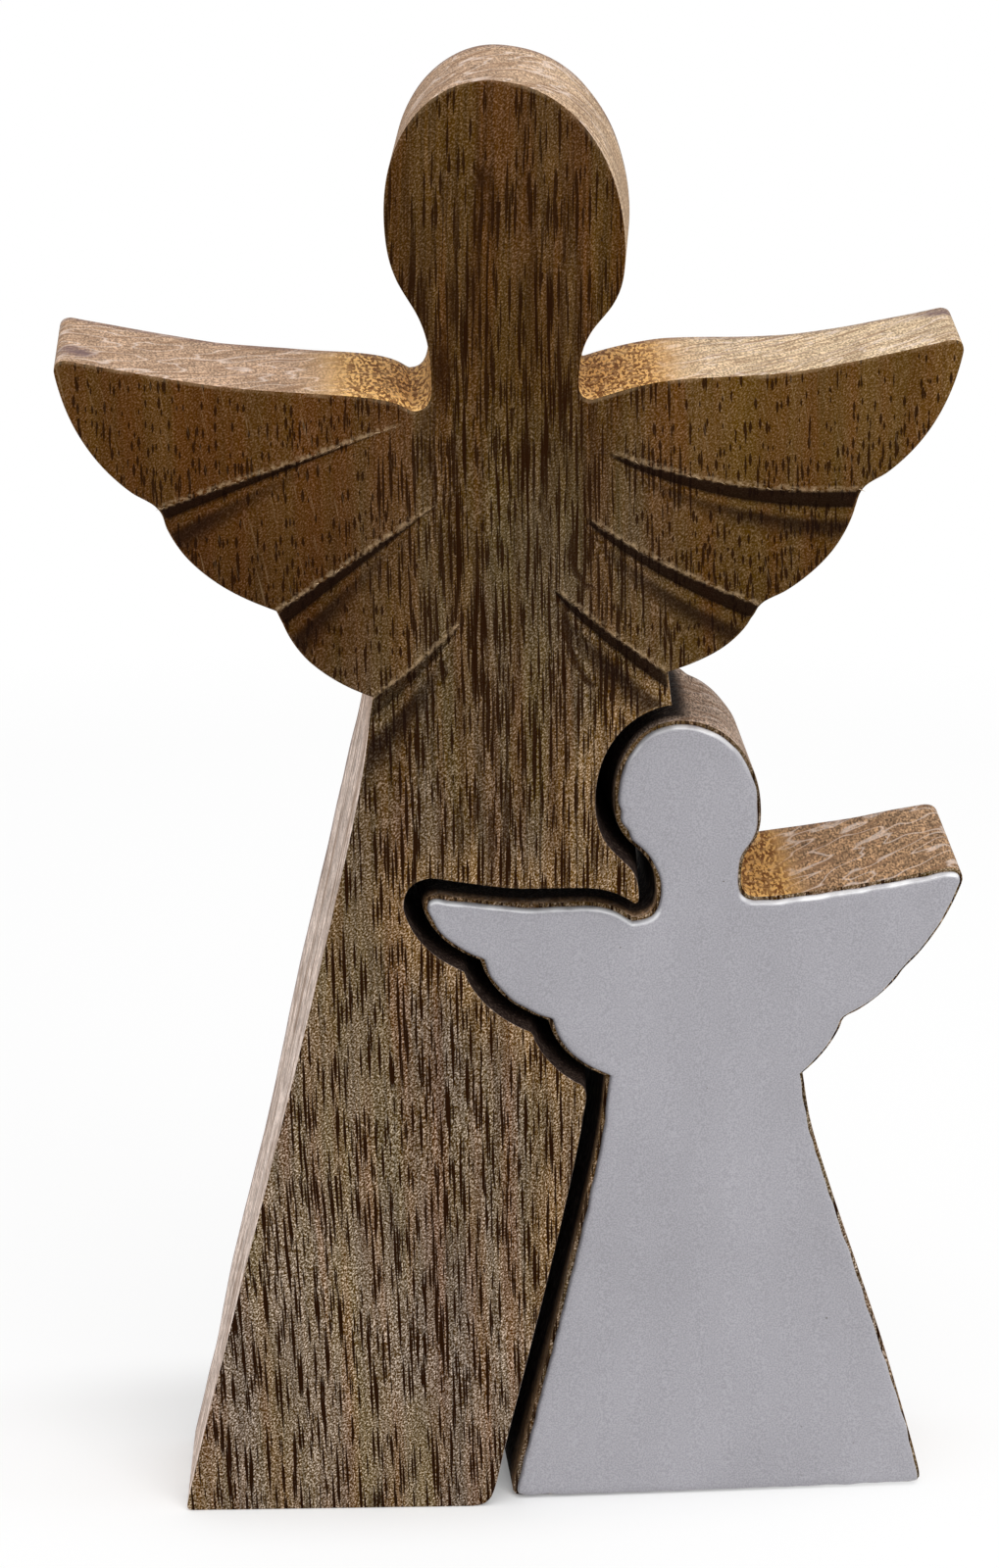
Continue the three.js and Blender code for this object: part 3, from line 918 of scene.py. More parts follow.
def grain_marks(tree, parts):
    """The dark arcs and smears of the large angel's front: 1 on a mark and 0 off it."""
    middle = sum(corner.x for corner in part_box("large_angel")) / 2 / MM
    across = add_node(tree, "ShaderNodeMath", [parts.outputs["X"], middle], operation="SUBTRACT")
    flat = add_node(tree, "ShaderNodeCombineXYZ", {"X": across, "Z": parts.outputs["Z"]})
    ragged = speckle(tree, flat, (0.7, 0.7, 1.6), 0.0, 1.0, -0.6, 0.6)
    marks = []
    for x, z, radius, low, high in DARK_ARCS:
        gap = add_node(tree, "ShaderNodeVectorMath", [flat, (x, 0.0, z)], operation="DISTANCE")
        gap = add_node(tree, "ShaderNodeMath", [gap.outputs["Value"], radius], operation="SUBTRACT")
        gap = add_node(tree, "ShaderNodeMath", [gap, ragged], operation="ADD")
        gap = add_node(tree, "ShaderNodeMath", [gap], operation="ABSOLUTE")
        line = add_node(tree, "ShaderNodeMapRange", [gap, 0.25, 0.6, 1.0, 0.0])
        left = add_node(tree, "ShaderNodeMath", [across, x], operation="LESS_THAN")
        over = add_node(tree, "ShaderNodeMapRange", [parts.outputs["Z"], low, low + 1.0, 0.0, 1.0])
        under = add_node(tree, "ShaderNodeMapRange", [parts.outputs["Z"], high - 1.0, high, 1.0, 0.0])
        marks.append(product(tree, line, left, over, under))
    for x, z, wide, high in GRAIN_SMEARS:
        off = add_node(tree, "ShaderNodeVectorMath", [flat, (x, 0.0, z)], operation="SUBTRACT")
        off = add_node(tree, "ShaderNodeVectorMath", [off, (1 / wide, 0.0, 1 / high)], operation="MULTIPLY")
        gap = add_node(tree, "ShaderNodeVectorMath", [off], operation="LENGTH").outputs["Value"]
        gap = add_node(tree, "ShaderNodeMath", [gap, ragged], operation="ADD")
        marks.append(add_node(tree, "ShaderNodeMapRange", [gap, 0.2, 1.0, 0.95, 0.0]))
    front = add_node(tree, "ShaderNodeMath", [parts.outputs["Y"], 0.0], operation="LESS_THAN")
    return product(tree, greatest(tree, *marks), front)


def oiled_wood(name, wood):
    """Mango wood, planed, oiled dark and rubbed back.

    The eye sees dark open pores along the grain, long dark streaks up the middle of the board, a fibrous
    speckle and, on the upper edges, a broken line of bare wood.
    """
    material, tree, shader = new_material(name, Roughness=0.6, IOR=1.48, Specular_IOR_Level=0.02)
    place, parts, grain = wood_places(tree)
    tone, winged, streaky = wood_zones(tree, wood, parts)
    for tint, sizes in (
        (wood.red, (3.5, 3.5, 55.0)), (wood.olive, (6.0, 6.0, 38.0)), (wood.grey, (9.0, 9.0, 30.0)),
    ):
        shown = speckle(tree, grain, sizes, 0.44, 0.62, 0.0, 0.55)
        tone = add_node(tree, "ShaderNodeMix", [shown, tone, tint], data_type="RGBA", blend_type="MULTIPLY")
    warm = speckle(tree, grain, (2.5, 2.5, 40.0), 0.3, 0.6, 0.3, 0.8)
    above_hem = add_node(tree, "ShaderNodeMapRange", [parts.outputs["Z"], *HEM, 0.0, 1.0])
    beside = product(tree, near(tree, "nest", 0.8, 7.0), warm, above_hem)
    tone = add_node(tree, "ShaderNodeMix", [beside, tone, wood.nest_tint], data_type="RGBA")

    slanted = add_node(
        tree, "ShaderNodeVectorRotate", {"Vector": grain, "Angle": math.radians(-38)},
        rotation_type="Y_AXIS",
    )
    lines = speckle(tree, grain, (0.3, 0.3, 12.0), 0.32, 0.68, 0.75, 1.25, 1.0)
    lines = add_node(tree, "ShaderNodeMix", [product(tree, winged, 0.6), lines, 1.0])
    bands = speckle(tree, grain, (7.0, 7.0, 240.0), 0.3, 0.7, 0.92, 1.08)
    light = product(tree, lines, bands)
    tone = add_node(tree, "ShaderNodeVectorMath", {"Vector": tone, "Scale": light}, operation="SCALE")
    # Real fibres are finer; these are drawn as coarse as they need to be to show. Their light and dark are
    # partly painted light on the fibres' ridges and painted shade between them
    fibre = speckle(tree, slanted, (0.19, 0.19, 0.28), 0.25, 0.75, -2.5, 2.5, 0.0)
    bright = add_node(tree, "ShaderNodeMath", [1.75, fibre], operation="POWER")
    bright = add_node(tree, "ShaderNodeMath", [bright, 1.1], operation="SUBTRACT")
    strength = add_node(tree, "ShaderNodeMapRange", [parts.outputs["Z"], *FIBRE_FADE, 0.5, 0.26])
    strength = add_node(tree, "ShaderNodeMix", [winged, strength, 0.22])
    grey = add_node(tree, "ShaderNodeRGBToBW", [tone])
    dusty = add_node(tree, "ShaderNodeVectorMath", [tone, grey], operation="ADD")
    fibre_light_and_shade = product(tree, bright, strength)
    tone = add_node(tree, "ShaderNodeVectorMath", [dusty, fibre_light_and_shade, tone], operation="MULTIPLY_ADD")
    tone = add_node(tree, "ShaderNodeVectorMath", [tone, (0.0, 0.0, 0.0)], operation="MAXIMUM")

    carved = add_node(tree, "ShaderNodeAttribute", attribute_name="carved")
    width = wood.pore_width / MM
    plain = add_node(tree, "ShaderNodeMath", [1.0, winged], operation="SUBTRACT")
    crowded = add_node(tree, "ShaderNodeMapRange", [carved.outputs["Alpha"], 0.0, 1.0, 0.7, 1.5])
    below_head = add_node(tree, "ShaderNodeMapRange", [parts.outputs["Z"], *PORE_FADE, 1.0, 0.35])
    on_gown = speckle(tree, grain, (4.0, 4.0, 26.0), 0.36, 0.62, 0.55, 0.95)
    on_gown = product(tree, on_gown, plain, below_head)
    on_wing = speckle(tree, grain, (6.0, 6.0, 9.0), 0.36, 0.62, 0.35, 0.95)
    on_wing = product(tree, on_wing, winged, crowded)
    most_crowded = add_node(tree, "ShaderNodeMath", [crowded, 0.5], operation="SUBTRACT")
    long_on_wing = product(tree, on_wing, most_crowded)
    in_crown = add_node(tree, "ShaderNodeMapRange", [parts.outputs["Z"], *BROW, 0.0, 0.55])
    # Kinds of pore: share of the pore width, length and room in mm, how many cells hold one, and seed
    kinds = (
        (1.1, 9.0, 0.76, on_gown, 3.1),
        (1.05, 6.0, 0.7, on_gown, 17.7),
        (0.9, 4.0, 0.6, product(tree, on_gown, 0.5), 23.9),
        (1.5, 10.0, 1.3, product(tree, streaky, plain, 0.25), 41.9),
        (1.05, 1.5, 0.72, on_wing, 31.3),
        (0.9, 3.0, 0.7, long_on_wing, 5.7),
        (1.1, 3.6, 0.9, in_crown, 11.7),
    )
    slits = greatest(tree, *(pores(tree, grain, share * width, *kind) for share, *kind in kinds))
    finer = add_node(tree, "ShaderNodeMapRange", [parts.outputs["Z"], *PORE_EASE, 1.0, 0.92])
    slits = product(tree, slits, finer)
    streaks = greatest(
        tree,
        speckle(tree, grain, (1.1, 1.1, 26.0), 0.54, 0.64, 0.0, 0.45),
        speckle(tree, grain, (0.45, 0.45, 14.0), 0.57, 0.63, 0.0, 1.0),
    )
    streaks = product(tree, streaks, streaky, plain)
    dark = greatest(tree, slits, streaks, product(tree, grain_marks(tree, parts), 0.85))
    tone = add_node(tree, "ShaderNodeMix", [dark, tone, wood.pore], data_type="RGBA")

    steep = add_node(
        tree, "ShaderNodeVectorRotate", {"Vector": place, "Angle": math.radians(12)},
        rotation_type="Y_AXIS",
    )
    scratches = product(tree, speckle(tree, steep, (0.25, 0.25, 7.0), 0.64, 0.76, 0.0, 0.2), winged)
    tints = add_node(tree, "ShaderNodeSeparateColor", [carved.outputs["Color"]])
    broken = speckle(tree, place, (0.7, 0.7, 0.7), 0.4, 0.62)
    worn = product(tree, near(tree, "edge", 0.0, 0.3), speckle(tree, place, (3.0, 3.0, 3.0), 0.4, 0.62))
    rubbed = add_node(tree, "ShaderNodeAttribute", attribute_name="rubbed").outputs["Fac"]
    tone = layered(tree, tone, (
        (scratches, wood.worn),
        # Painted shade, with the gouge's stain and scorch, in the stroke hollows and on their walls
        (product(tree, tints.outputs["Blue"], 0.85), wood.scorch_and_shade),
        (product(tree, tints.outputs["Green"], 0.92), wood.scorch_and_shade),
        (product(tree, tints.outputs["Red"], broken, 0.9), wood.worn),
        (product(tree, worn, rubbed, 0.2), wood.worn),
    ))
    tree.links.new(tone.outputs[2], shader.inputs["Base Color"])

    relief = add_node(tree, "ShaderNodeMath", [product(tree, fibre, 0.06), dark], operation="SUBTRACT")
    bump = add_node(tree, "ShaderNodeBump", {"Height": relief, "Strength": 0.7, "Distance": 0.2 * MM})
    tree.links.new(bump.outputs[0], shader.inputs["Normal"])
    return material


def sawn_wood(name, wood, upper, lower, height, bare, turn_reach, gritty, stains=()):
    """Mango wood as the saw left it: speckled end grain, golden rough turns and painted shade in the nest.

    Upper is the colour at the left and at the right above this height in mm, and lower the colour below it.
    Bare is how far behind the front, close to the floor, the painted shade of the nest walls is full.
    Turn reach is how far from the notches the rough turns go, and gritty how strong the speckle is.
    """
    material, tree, shader = new_material(name, Roughness=0.8, IOR=1.45, Specular_IOR_Level=0.15)
    place, parts, grain = wood_places(tree)
    right = add_node(tree, "ShaderNodeMapRange", [parts.outputs["X"], -5.0, 30.0, 0.0, 1.0])
    tone = add_node(tree, "ShaderNodeMix", [right, *upper], data_type="RGBA")
    # Below the height the lower colour: on the large angel the gown's pale sides, partly painted light
    low = add_node(tree, "ShaderNodeMapRange", [parts.outputs["Z"], height - 8, height + 8, 1.0, 0.0])
    tone = add_node(tree, "ShaderNodeMix", [low, tone, lower], data_type="RGBA")
    blotches = speckle(tree, place, (5.0, 8.0, 16.0), 0.3, 0.7, 0.84, 1.16)
    # Real end grain is finer; this is drawn as coarse as it needs to be to show
    grit = speckle(tree, place, (0.26, 0.7, 0.26), 0.32, 0.68, 1 - gritty, 1 + gritty, 0.0)
    stripes = speckle(tree, grain, (0.4, 3.0, 26.0), 0.35, 0.65, 0.7, 1.2)
    stripes = add_node(tree, "ShaderNodeMix", [low, 1.0, stripes])
    rubbed = add_node(tree, "ShaderNodeAttribute", attribute_name="rubbed").outputs["Fac"]
    upright = add_node(tree, "ShaderNodeMath", [1.0, rubbed], operation="SUBTRACT")
    grit = add_node(tree, "ShaderNodeMix", [product(tree, low, upright, 0.7), grit, 1.0])
    light = product(tree, blotches, grit, stripes)
    tone = add_node(tree, "ShaderNodeVectorMath", {"Vector": tone, "Scale": light}, operation="SCALE")

    slanted = add_node(
        tree, "ShaderNodeVectorRotate", {"Vector": place, "Angle": math.radians(55)},
        rotation_type="Z_AXIS",
    )
    marks = greatest(
        tree,
        speckle(tree, slanted, (0.9, 9.0, 20.0), 0.47, 0.63, 0.0, 0.75),
        speckle(tree, grain, (0.4, 0.5, 30.0), 0.5, 0.8, 0.0, 0.6),
        speckle(tree, grain, (0.55, 0.55, 5.0), 0.58, 0.7, 0.0, 0.6),
    )
    ridge = speckle(tree, slanted, (3.0, 9.0, 30.0), 0.0, 1.0, -1.0, 1.0, 1.0)
    ridge = add_node(tree, "ShaderNodeMath", [ridge], operation="ABSOLUTE")
    veins = add_node(tree, "ShaderNodeMapRange", [ridge, 0.0, 0.06, 0.55, 0.0])
    veins = product(tree, veins, rubbed)
    ragged = speckle(tree, place, (1.2, 1.2, 1.2), 0.3, 0.55, 0.5, 1.0)
    turn = product(tree, near(tree, "notch", 0.55 * turn_reach, turn_reach, 0.95), ragged)
    glow = near(tree, "notch", 0.8 * turn_reach, 1.3 * turn_reach, 0.2)
    pits = product(tree, speckle(tree, place, (0.42, 1.3, 0.42), 0.46, 0.52), turn)
    depth = add_node(tree, "ShaderNodeAttribute", attribute_name="edge").outputs["Fac"]
    rear = add_node(tree, "ShaderNodeMapRange", [depth, 21.5, 23.0, 0.0, 0.45])
    # Painted shade deep in the narrow gap between the angels: nest walls darken with depth, sooner higher
    # up
    dusty = add_node(tree, "ShaderNodeMapRange", [parts.outputs["Z"], 0.0, 50.0, bare, 0.4 * bare])
    behind = add_node(tree, "ShaderNodeMath", [depth, dusty], operation="DIVIDE")
    behind = add_node(tree, "ShaderNodeMapRange", [behind, 0.2, 1.0, 0.0, 1.0])
    gap_shade = product(tree, near(tree, "nest", 3.0, 4.5), behind)
    # Painted sheen: grey streaks over the painted shade of the nest walls
    painted_sheen_streaks = speckle(tree, grain, (0.3, 0.3, 9.0), 0.5, 0.8, 0.0, 0.25)
    # The left turn gets the paler colour as painted light, where the head shades it
    torn = add_node(tree, "ShaderNodeMix", [right, wood.rough_with_painted_light, wood.rough], data_type="RGBA")
    layers = [
        (marks, wood.sawn_line), (veins, wood.sawn_pink_with_painted_light), (glow, torn), (turn, torn),
        (pits, wood.pit), (rear, wood.bruise),
    ]
    for x, y, z, size in stains:
        gap = add_node(tree, "ShaderNodeVectorMath", [place, (x, y, z)], operation="DISTANCE")
        spot = add_node(tree, "ShaderNodeMapRange", [gap.outputs["Value"], 0.4 * size, size, 1.0, 0.0])
        patchy = speckle(tree, slanted, (0.8, 2.5, 2.5), 0.3, 0.6, 0.4, 1.0)
        layers.append((product(tree, spot, patchy, 0.9), wood.bruise))
    layers += [(gap_shade, wood.scorch_and_shade), (product(tree, painted_sheen_streaks, gap_shade), wood.sawn_grey_with_painted_light)]
    tone = layered(tree, tone, layers)
    tree.links.new(tone.outputs[2], shader.inputs["Base Color"])
    relief = add_node(tree, "ShaderNodeMath", [marks, pits], operation="ADD")
    bump = add_node(
        tree, "ShaderNodeBump", {"Height": relief, "Strength": 0.6, "Distance": 0.25 * MM}, invert=True
    )
    tree.links.new(bump.outputs[0], shader.inputs["Normal"])
    return material


def poured_enamel(name, enamel):
    """Gloss enamel, poured by hand: hard, grey-white and slightly uneven, so that reflections waver.

    Its upper rims carry a painted highlight: a whiter colour where the rolled rim faces up.
    """
    material, tree, shader = new_material(
        name, Roughness=0.14, IOR=1.52, Coat_Weight=0.4, Coat_Roughness=0.05
    )
    place = place_in_mm(tree)
    # Broad soft lighter and darker patches, partly painted reflection
    cloud_and_painted_reflection = speckle(tree, place, (18.0, 18.0, 26.0), 0.3, 0.7, 0.93, 1.07)
    grain = speckle(tree, place, (0.2, 0.2, 0.2), 0.3, 0.7, 0.87, 1.13, 0.0)
    light = product(tree, cloud_and_painted_reflection, grain)
    tone = add_node(
        tree, "ShaderNodeVectorMath", {"Vector": enamel.colour[:3], "Scale": light}, operation="SCALE"
    )
    # Painted highlight: the rim colour is laid in broken patches over the upward-facing rolled rim
    bead = add_node(tree, "ShaderNodeAttribute", attribute_name="bead").outputs["Fac"]
    highlight_patches = speckle(tree, place, (4.0, 4.0, 4.0), 0.38, 0.6, 0.3, 1.0)
    tone = add_node(
        tree, "ShaderNodeMix", [product(tree, bead, highlight_patches), tone, enamel.rim_highlight_colour], data_type="RGBA"
    )
    tree.links.new(tone.outputs[2], shader.inputs["Base Color"])
    peel = speckle(tree, place, (3.0, 3.0, 3.0), 0.0, 1.0, detail=1.0)
    bump = add_node(tree, "ShaderNodeBump", {"Height": peel, "Strength": 0.25, "Distance": 0.1 * MM})
    tree.links.new(bump.outputs[0], shader.inputs["Normal"])
    return material


def plain_finish(name, tone, darker, size, roughness):
    """A small part's finish: one colour with blotches of a darker one, of this size in mm."""
    material, tree, shader = new_material(name, Roughness=roughness)
    place = place_in_mm(tree)
    blotch = speckle(tree, place, (size, size, size), 0.3, 0.7)
    tone = add_node(tree, "ShaderNodeMix", [blotch, tone, darker], data_type="RGBA")
    tree.links.new(tone.outputs[2], shader.inputs["Base Color"])
    return material


def new_tree(name, inputs):
    """An empty node tree for geometry, with a geometry input and these named inputs."""
    tree = bpy.data.node_groups.new(name, "GeometryNodeTree")
    tree.interface.new_socket("Geometry", in_out="INPUT", socket_type="NodeSocketGeometry")
    for label, kind in inputs.items():
        tree.interface.new_socket(label, in_out="INPUT", socket_type=kind)
    tree.interface.new_socket("Geometry", in_out="OUTPUT", socket_type="NodeSocketGeometry")
    return tree, add_node(tree, "NodeGroupInput").outputs


def grow(name, source, tree, values):
    """Runs a node tree on a source and returns what it makes as a plain mesh object."""
    modifier = source.modifiers.new(name, "NODES")
    modifier.node_group = tree
    for item in tree.interface.items_tree:
        if item.in_out == "INPUT" and item.name in values:
            modifier[item.identifier] = values[item.name]
    evaluated = source.evaluated_get(bpy.context.evaluated_depsgraph_get())
    mesh = bpy.data.meshes.new_from_object(evaluated)
    mesh.name = name
    source.modifiers.remove(modifier)
    if not mesh.polygons:
        raise RuntimeError(f"{name} came out empty")
    return new_object(name, mesh)


def fibre_tree():
    """Torn fibres along a line: tapered slivers, turned and sized at random, with gaps between them."""
    tree, group = new_tree("torn_fibres", {
        "Spacing": "NodeSocketFloat", "Length": "NodeSocketFloat", "Width": "NodeSocketFloat",
        "Seed": "NodeSocketInt", "Finish": "NodeSocketMaterial",
    })
    line = add_node(tree, "GeometryNodeMeshToCurve", [group["Geometry"]])
    points = add_node(
        tree, "GeometryNodeCurveToPoints", {"Curve": line, "Length": group["Spacing"]}, mode="LENGTH"
    )
    sliver = add_node(tree, "GeometryNodeMeshCone", {
        "Vertices": 4, "Side Segments": 2, "Radius Top": 0.0,
        "Radius Bottom": group["Width"], "Depth": group["Length"],
    })
    kept = add_node(
        tree, "FunctionNodeRandomValue", {"Probability": 0.6, "Seed": group["Seed"]}, data_type="BOOLEAN"
    )
    tilt = add_node(
        tree, "FunctionNodeRandomValue",
        {"Min": (-0.45, -0.45, -0.45), "Max": (0.45, 0.45, 0.45), "Seed": group["Seed"]},
        data_type="FLOAT_VECTOR",
    )
    size = add_node(
        tree, "FunctionNodeRandomValue", {"Min": 0.35, "Max": 1.2, "Seed": group["Seed"]}, data_type="FLOAT"
    )
    along = add_node(
        tree, "FunctionNodeAlignRotationToVector", {"Vector": points.outputs["Tangent"]}, axis="Z"
    )
    turned = add_node(tree, "FunctionNodeEulerToRotation", [tilt])
    turned = add_node(tree, "FunctionNodeRotateRotation", [along, turned], rotation_space="LOCAL")
    slivers = add_node(tree, "GeometryNodeInstanceOnPoints", {
        "Points": points.outputs["Points"], "Selection": kept, "Instance": sliver.outputs["Mesh"],
        "Rotation": turned, "Scale": size,
    })
    real = add_node(tree, "GeometryNodeRealizeInstances", [slivers])
    finished = add_node(tree, "GeometryNodeSetMaterial", {"Geometry": real, "Material": group["Finish"]})
    add_node(tree, "NodeGroupOutput", [finished])
    return tree


def speck_tree():
    """Specks scattered over the front of a coat: small flattened domes, sized at random."""
    tree, group = new_tree("enamel_specks", {
        "Size": "NodeSocketFloat", "Density": "NodeSocketFloat", "Seed": "NodeSocketInt",
        "Finish": "NodeSocketMaterial",
    })
    normal = add_node(tree, "GeometryNodeInputNormal")
    facing = add_node(tree, "ShaderNodeSeparateXYZ", [normal])
    front = add_node(tree, "FunctionNodeCompare", [facing.outputs["Y"], -0.99], operation="LESS_THAN")
    points = add_node(tree, "GeometryNodeDistributePointsOnFaces", {
        "Mesh": group["Geometry"], "Selection": front, "Density": group["Density"], "Seed": group["Seed"],
    })
    dome = add_node(tree, "GeometryNodeMeshIcoSphere", {"Radius": group["Size"], "Subdivisions": 2})
    shape = add_node(
        tree, "FunctionNodeRandomValue",
        {"Min": (0.15, 0.15, 0.08), "Max": (0.6, 0.75, 0.1), "Seed": group["Seed"]},
        data_type="FLOAT_VECTOR",
    )
    specks = add_node(tree, "GeometryNodeInstanceOnPoints", {
        "Points": points.outputs["Points"], "Instance": dome.outputs["Mesh"],
        "Rotation": points.outputs["Rotation"], "Scale": shape,
    })
    real = add_node(tree, "GeometryNodeRealizeInstances", [specks])
    finished = add_node(tree, "GeometryNodeSetMaterial", {"Geometry": real, "Material": group["Finish"]})
    add_node(tree, "NodeGroupOutput", [finished])
    return tree


def carved_strokes(board, carving):
    """The feather strokes of the large angel's board."""
    return [Stroke(*stroke, board.middle, carving) for stroke in FEATHER_STROKES]


def hand_over(piece, body, slot, *nodes):
    """Parents a piece to the empty of the body it rides on, and hides the solids it stands for."""
    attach(piece, body)
    if nodes:
        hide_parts(*nodes)


class ANGELS_OT_large_board(bpy.types.Operator):
    """Make the large angel, with its carved strokes"""

    bl_idname = "angels.large_board"
    bl_label = "Large Angel"

    def execute(self, context):
        scene = context.scene
        board = Board("large_angel")
        wood = scene.angel_wood
        piece = build_board(
            "large_angel_board", board, scene.angel_board, nest_line(board, Board("small_angel")),
            LARGE_NOTCHES, saw_wander, carved_strokes(board, scene.angel_carving),
        )
        piece.data.materials.append(oiled_wood("oiled_mango_wood", wood))
        ends = (wood.sawn_dull, wood.sawn)
        piece.data.materials.append(sawn_wood(
            "sawn_mango_wood", wood, ends, wood.sawn_pink_with_painted_light,
            height=115.0, bare=0.6, turn_reach=13.0, gritty=0.45, stains=END_STAINS,
        ))
        hand_over(piece, "large_angel", "large_angel_wood", "large_angel")
        return {"FINISHED"}


class ANGELS_OT_torn_fibres(bpy.types.Operator):
    """Lay torn fibres along the rims of the carved strokes"""

    bl_idname = "angels.torn_fibres"
    bl_label = "Torn Fibres"

    def execute(self, context):
        carving = context.scene.angel_carving
        wood = context.scene.angel_wood
        board = Board("large_angel")
        ring = smooth_outline(board.outline, MEASURED_STEP)
        places = []
        edges = []
        for stroke in carved_strokes(board, carving):
            line = stroke.lines(ring)[1]
            first = len(places)
            places += board.place(line, 0.0).tolist()
            edges += [(first + i, first + i + 1) for i in range(len(line) - 1)]
        mesh = bpy.data.meshes.new("stroke_rims")
        mesh.from_pydata(places, edges, [])
        source = new_object("stroke_rims", mesh)
        finish = plain_finish("torn_mango_fibre", wood.worn, wood.wing_left, size=0.8, roughness=0.8)
        piece = grow("feather_stroke_fibres", source, fibre_tree(), {
            "Spacing": carving.fibre_spacing, "Length": carving.fibre_length,
            "Width": carving.fibre_width / 2, "Seed": carving.fibre_seed, "Finish": finish,
        })
        bpy.data.objects.remove(source)
        hand_over(piece, "large_angel", "large_angel_wood")
        return {"FINISHED"}


class ANGELS_OT_small_board(bpy.types.Operator):
    """Make the board of the small angel"""

    bl_idname = "angels.small_board"
    bl_label = "Small Angel"

    def execute(self, context):
        scene = context.scene
        board = Board("small_angel")
        wood = scene.angel_wood
        nest = nest_line(Board("large_angel"), board)
        piece = build_board(
            "small_angel_board", board, scene.angel_board, nest, SMALL_NOTCHES, small_wander
        )
        piece.data.materials.append(oiled_wood("oiled_mango_wood_small", wood))
        ends = (wood.sawn_grey_with_painted_light, wood.sawn_grey_with_painted_light)
        piece.data.materials.append(sawn_wood(
            "sawn_mango_wood_small", wood, ends, wood.sawn_tan,
            height=98.0, bare=6.0, turn_reach=6.5, gritty=0.65,
        ))
        hand_over(piece, "small_angel", "small_angel_wood", "small_angel")
        return {"FINISHED"}


class ANGELS_OT_enamel_coat(bpy.types.Operator):
    """Pour the enamel over the front of the small angel"""

    bl_idname = "angels.enamel_coat"
    bl_label = "Enamel Coat"

    def execute(self, context):
        enamel = context.scene.angel_enamel
        piece = build_enamel("small_angel_coat", Board("small_angel_enamel"), Board("small_angel"), enamel)
        piece.data.materials.append(poured_enamel("poured_white_enamel", enamel))
        finish = plain_finish(
            "pinhole_dirt", enamel.speck_colour, enamel.colour, size=1.5, roughness=0.5
        )
        specks = grow("enamel_specks", piece, speck_tree(), {
            "Size": enamel.speck_size, "Density": enamel.speck_density,
            "Seed": enamel.speck_seed, "Finish": finish,
        })
        hand_over(specks, "small_angel", "white_enamel")
        hand_over(piece, "small_angel", "white_enamel", "small_angel_enamel")
        return {"FINISHED"}


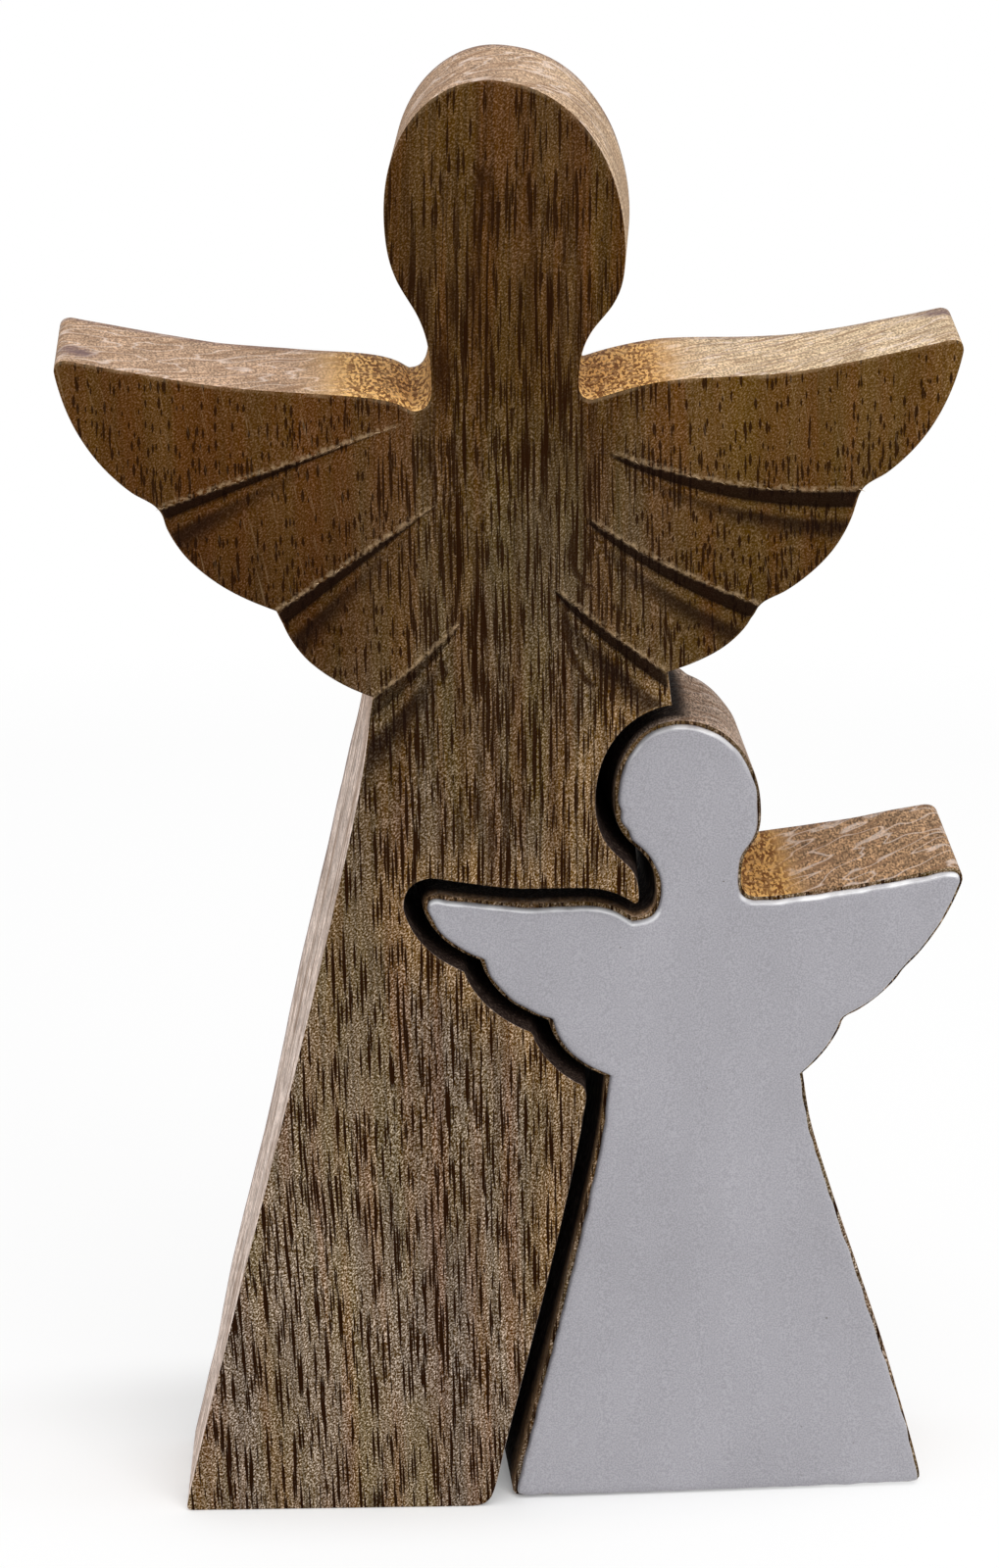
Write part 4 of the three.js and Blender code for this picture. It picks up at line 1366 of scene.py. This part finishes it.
class ANGELS_OT_stage(bpy.types.Operator):
    """Set the camera, the pale floor and the soft lights"""

    bl_idname = "angels.stage"
    bl_label = "Stage"

    def execute(self, context):
        stage = context.scene.angel_stage
        scene = context.scene
        scene.view_settings.view_transform = "Standard"
        camera = new_object("camera", bpy.data.cameras.new("camera"))
        camera.data.lens = stage.lens
        camera.data.sensor_width = 36.0
        camera.data.clip_start = 0.01
        camera.location = stage.camera_place
        camera.rotation_euler = (math.pi / 2 - stage.pitch, 0, -stage.yaw)
        scene.camera = camera
        half = stage.floor_size / 2
        mesh = bpy.data.meshes.new("floor")
        corners = [(-half, -half, 0), (half, -half, 0), (half, half, 0), (-half, half, 0)]
        mesh.from_pydata(corners, [], [(0, 1, 2, 3)])
        mesh.materials.append(self.floor_finish(stage))
        floor = new_object("floor", mesh)
        self.lamp("top_light", place=(0.1, -0.25, 1.05), size=0.8, power=stage.top_power)
        self.lamp("front_light", place=(0.5, -0.9, 0.9), size=0.6, power=stage.front_power)
        self.sky(scene, stage)
        return {"FINISHED"}

    def lamp(self, name, place, size, power):
        """A square soft light that faces the angels."""
        lamp = new_object(name, bpy.data.lights.new(name, "AREA"))
        lamp.data.size = size
        lamp.data.energy = power
        lamp.location = place
        aim = Vector((0, 0, 0.1)) - Vector(place)
        lamp.rotation_euler = aim.to_track_quat("-Z", "Y").to_euler()

    def seen(self, tree):
        """1 for rays from the camera and for reflections, 0 for the light that falls on the angels."""
        path = add_node(tree, "ShaderNodeLightPath").outputs
        return greatest(tree, path["Is Camera Ray"], path["Is Glossy Ray"], path["Is Transmission Ray"])

    def floor_finish(self, stage):
        """Matt white card with faint shadows, which the camera sees as plain white away from the angels."""
        material = bpy.data.materials.new("white_card")
        material.use_nodes = True
        tree = material.node_tree
        tree.nodes.clear()
        card = add_node(tree, "ShaderNodeBsdfDiffuse", {"Color": stage.floor_colour})
        glow = add_node(tree, "ShaderNodeEmission", {"Color": (1, 1, 1, 1), "Strength": 1.0})
        coords = add_node(tree, "ShaderNodeTexCoord").outputs["Object"]
        off = add_node(tree, "ShaderNodeVectorMath", [coords, stage.shadow_middle], operation="SUBTRACT")
        off = add_node(tree, "ShaderNodeVectorMath", [off, stage.shadow_size], operation="DIVIDE")
        away = add_node(tree, "ShaderNodeVectorMath", [off], operation="LENGTH").outputs["Value"]
        white = add_node(
            tree, "ShaderNodeMapRange", [away, 1.0, 2.0, *stage.floor_glow], interpolation_type="SMOOTHSTEP"
        )
        far = add_node(tree, "ShaderNodeVectorMath", [coords], operation="LENGTH").outputs["Value"]
        far = add_node(tree, "ShaderNodeMapRange", [far, *stage.shadow_reach, 0.0, 1.0])
        white = greatest(tree, white, far)
        mixed = add_node(tree, "ShaderNodeMixShader", [product(tree, self.seen(tree), white), card, glow])
        add_node(tree, "ShaderNodeOutputMaterial", [mixed])
        return material

    def sky(self, scene, stage):
        """Even light from all round, which the camera sees as white."""
        world = bpy.data.worlds.new("soft_sky")
        world.use_nodes = True
        tree = world.node_tree
        tree.nodes.clear()
        strength = add_node(tree, "ShaderNodeMapRange", [self.seen(tree), 0.0, 1.0, stage.sky, 1.0])
        back = add_node(tree, "ShaderNodeBackground", {"Color": (1, 1, 1, 1), "Strength": strength})
        add_node(tree, "ShaderNodeOutputWorld", [back])
        scene.world = world


class ANGELS_PT_panel(bpy.types.Panel):
    """Steps that dress the angels"""

    bl_label = "Wooden Angels"
    bl_idname = "ANGELS_PT_panel"
    bl_space_type = "VIEW_3D"
    bl_region_type = "UI"
    bl_category = "Angels"

    def draw(self, context):
        for step in STEPS:
            self.layout.operator(step.bl_idname)
        for group in GROUPS:
            self.layout.label(text=group.__doc__)
            settings = getattr(context.scene, GROUPS[group])
            for name in group.__annotations__:
                self.layout.prop(settings, name)


GROUPS = {
    BoardSettings: "angel_board",
    CarvingSettings: "angel_carving",
    EnamelSettings: "angel_enamel",
    WoodSettings: "angel_wood",
    StageSettings: "angel_stage",
}
STEPS = (
    ANGELS_OT_stage,
    ANGELS_OT_large_board,
    ANGELS_OT_torn_fibres,
    ANGELS_OT_small_board,
    ANGELS_OT_enamel_coat,
)


def register():
    for made in (*GROUPS, *STEPS, ANGELS_PT_panel):
        bpy.utils.register_class(made)
    for group, name in GROUPS.items():
        setattr(bpy.types.Scene, name, PointerProperty(type=group))


def unregister():
    for name in GROUPS.values():
        delattr(bpy.types.Scene, name)
    for made in reversed((*GROUPS, *STEPS, ANGELS_PT_panel)):
        bpy.utils.unregister_class(made)


def main():
    register()
    bpy.ops.angels.stage()
    bpy.ops.angels.large_board()
    bpy.ops.angels.torn_fibres()
    bpy.ops.angels.small_board()
    bpy.ops.angels.enamel_coat()


if __name__ == "__main__":
    main()
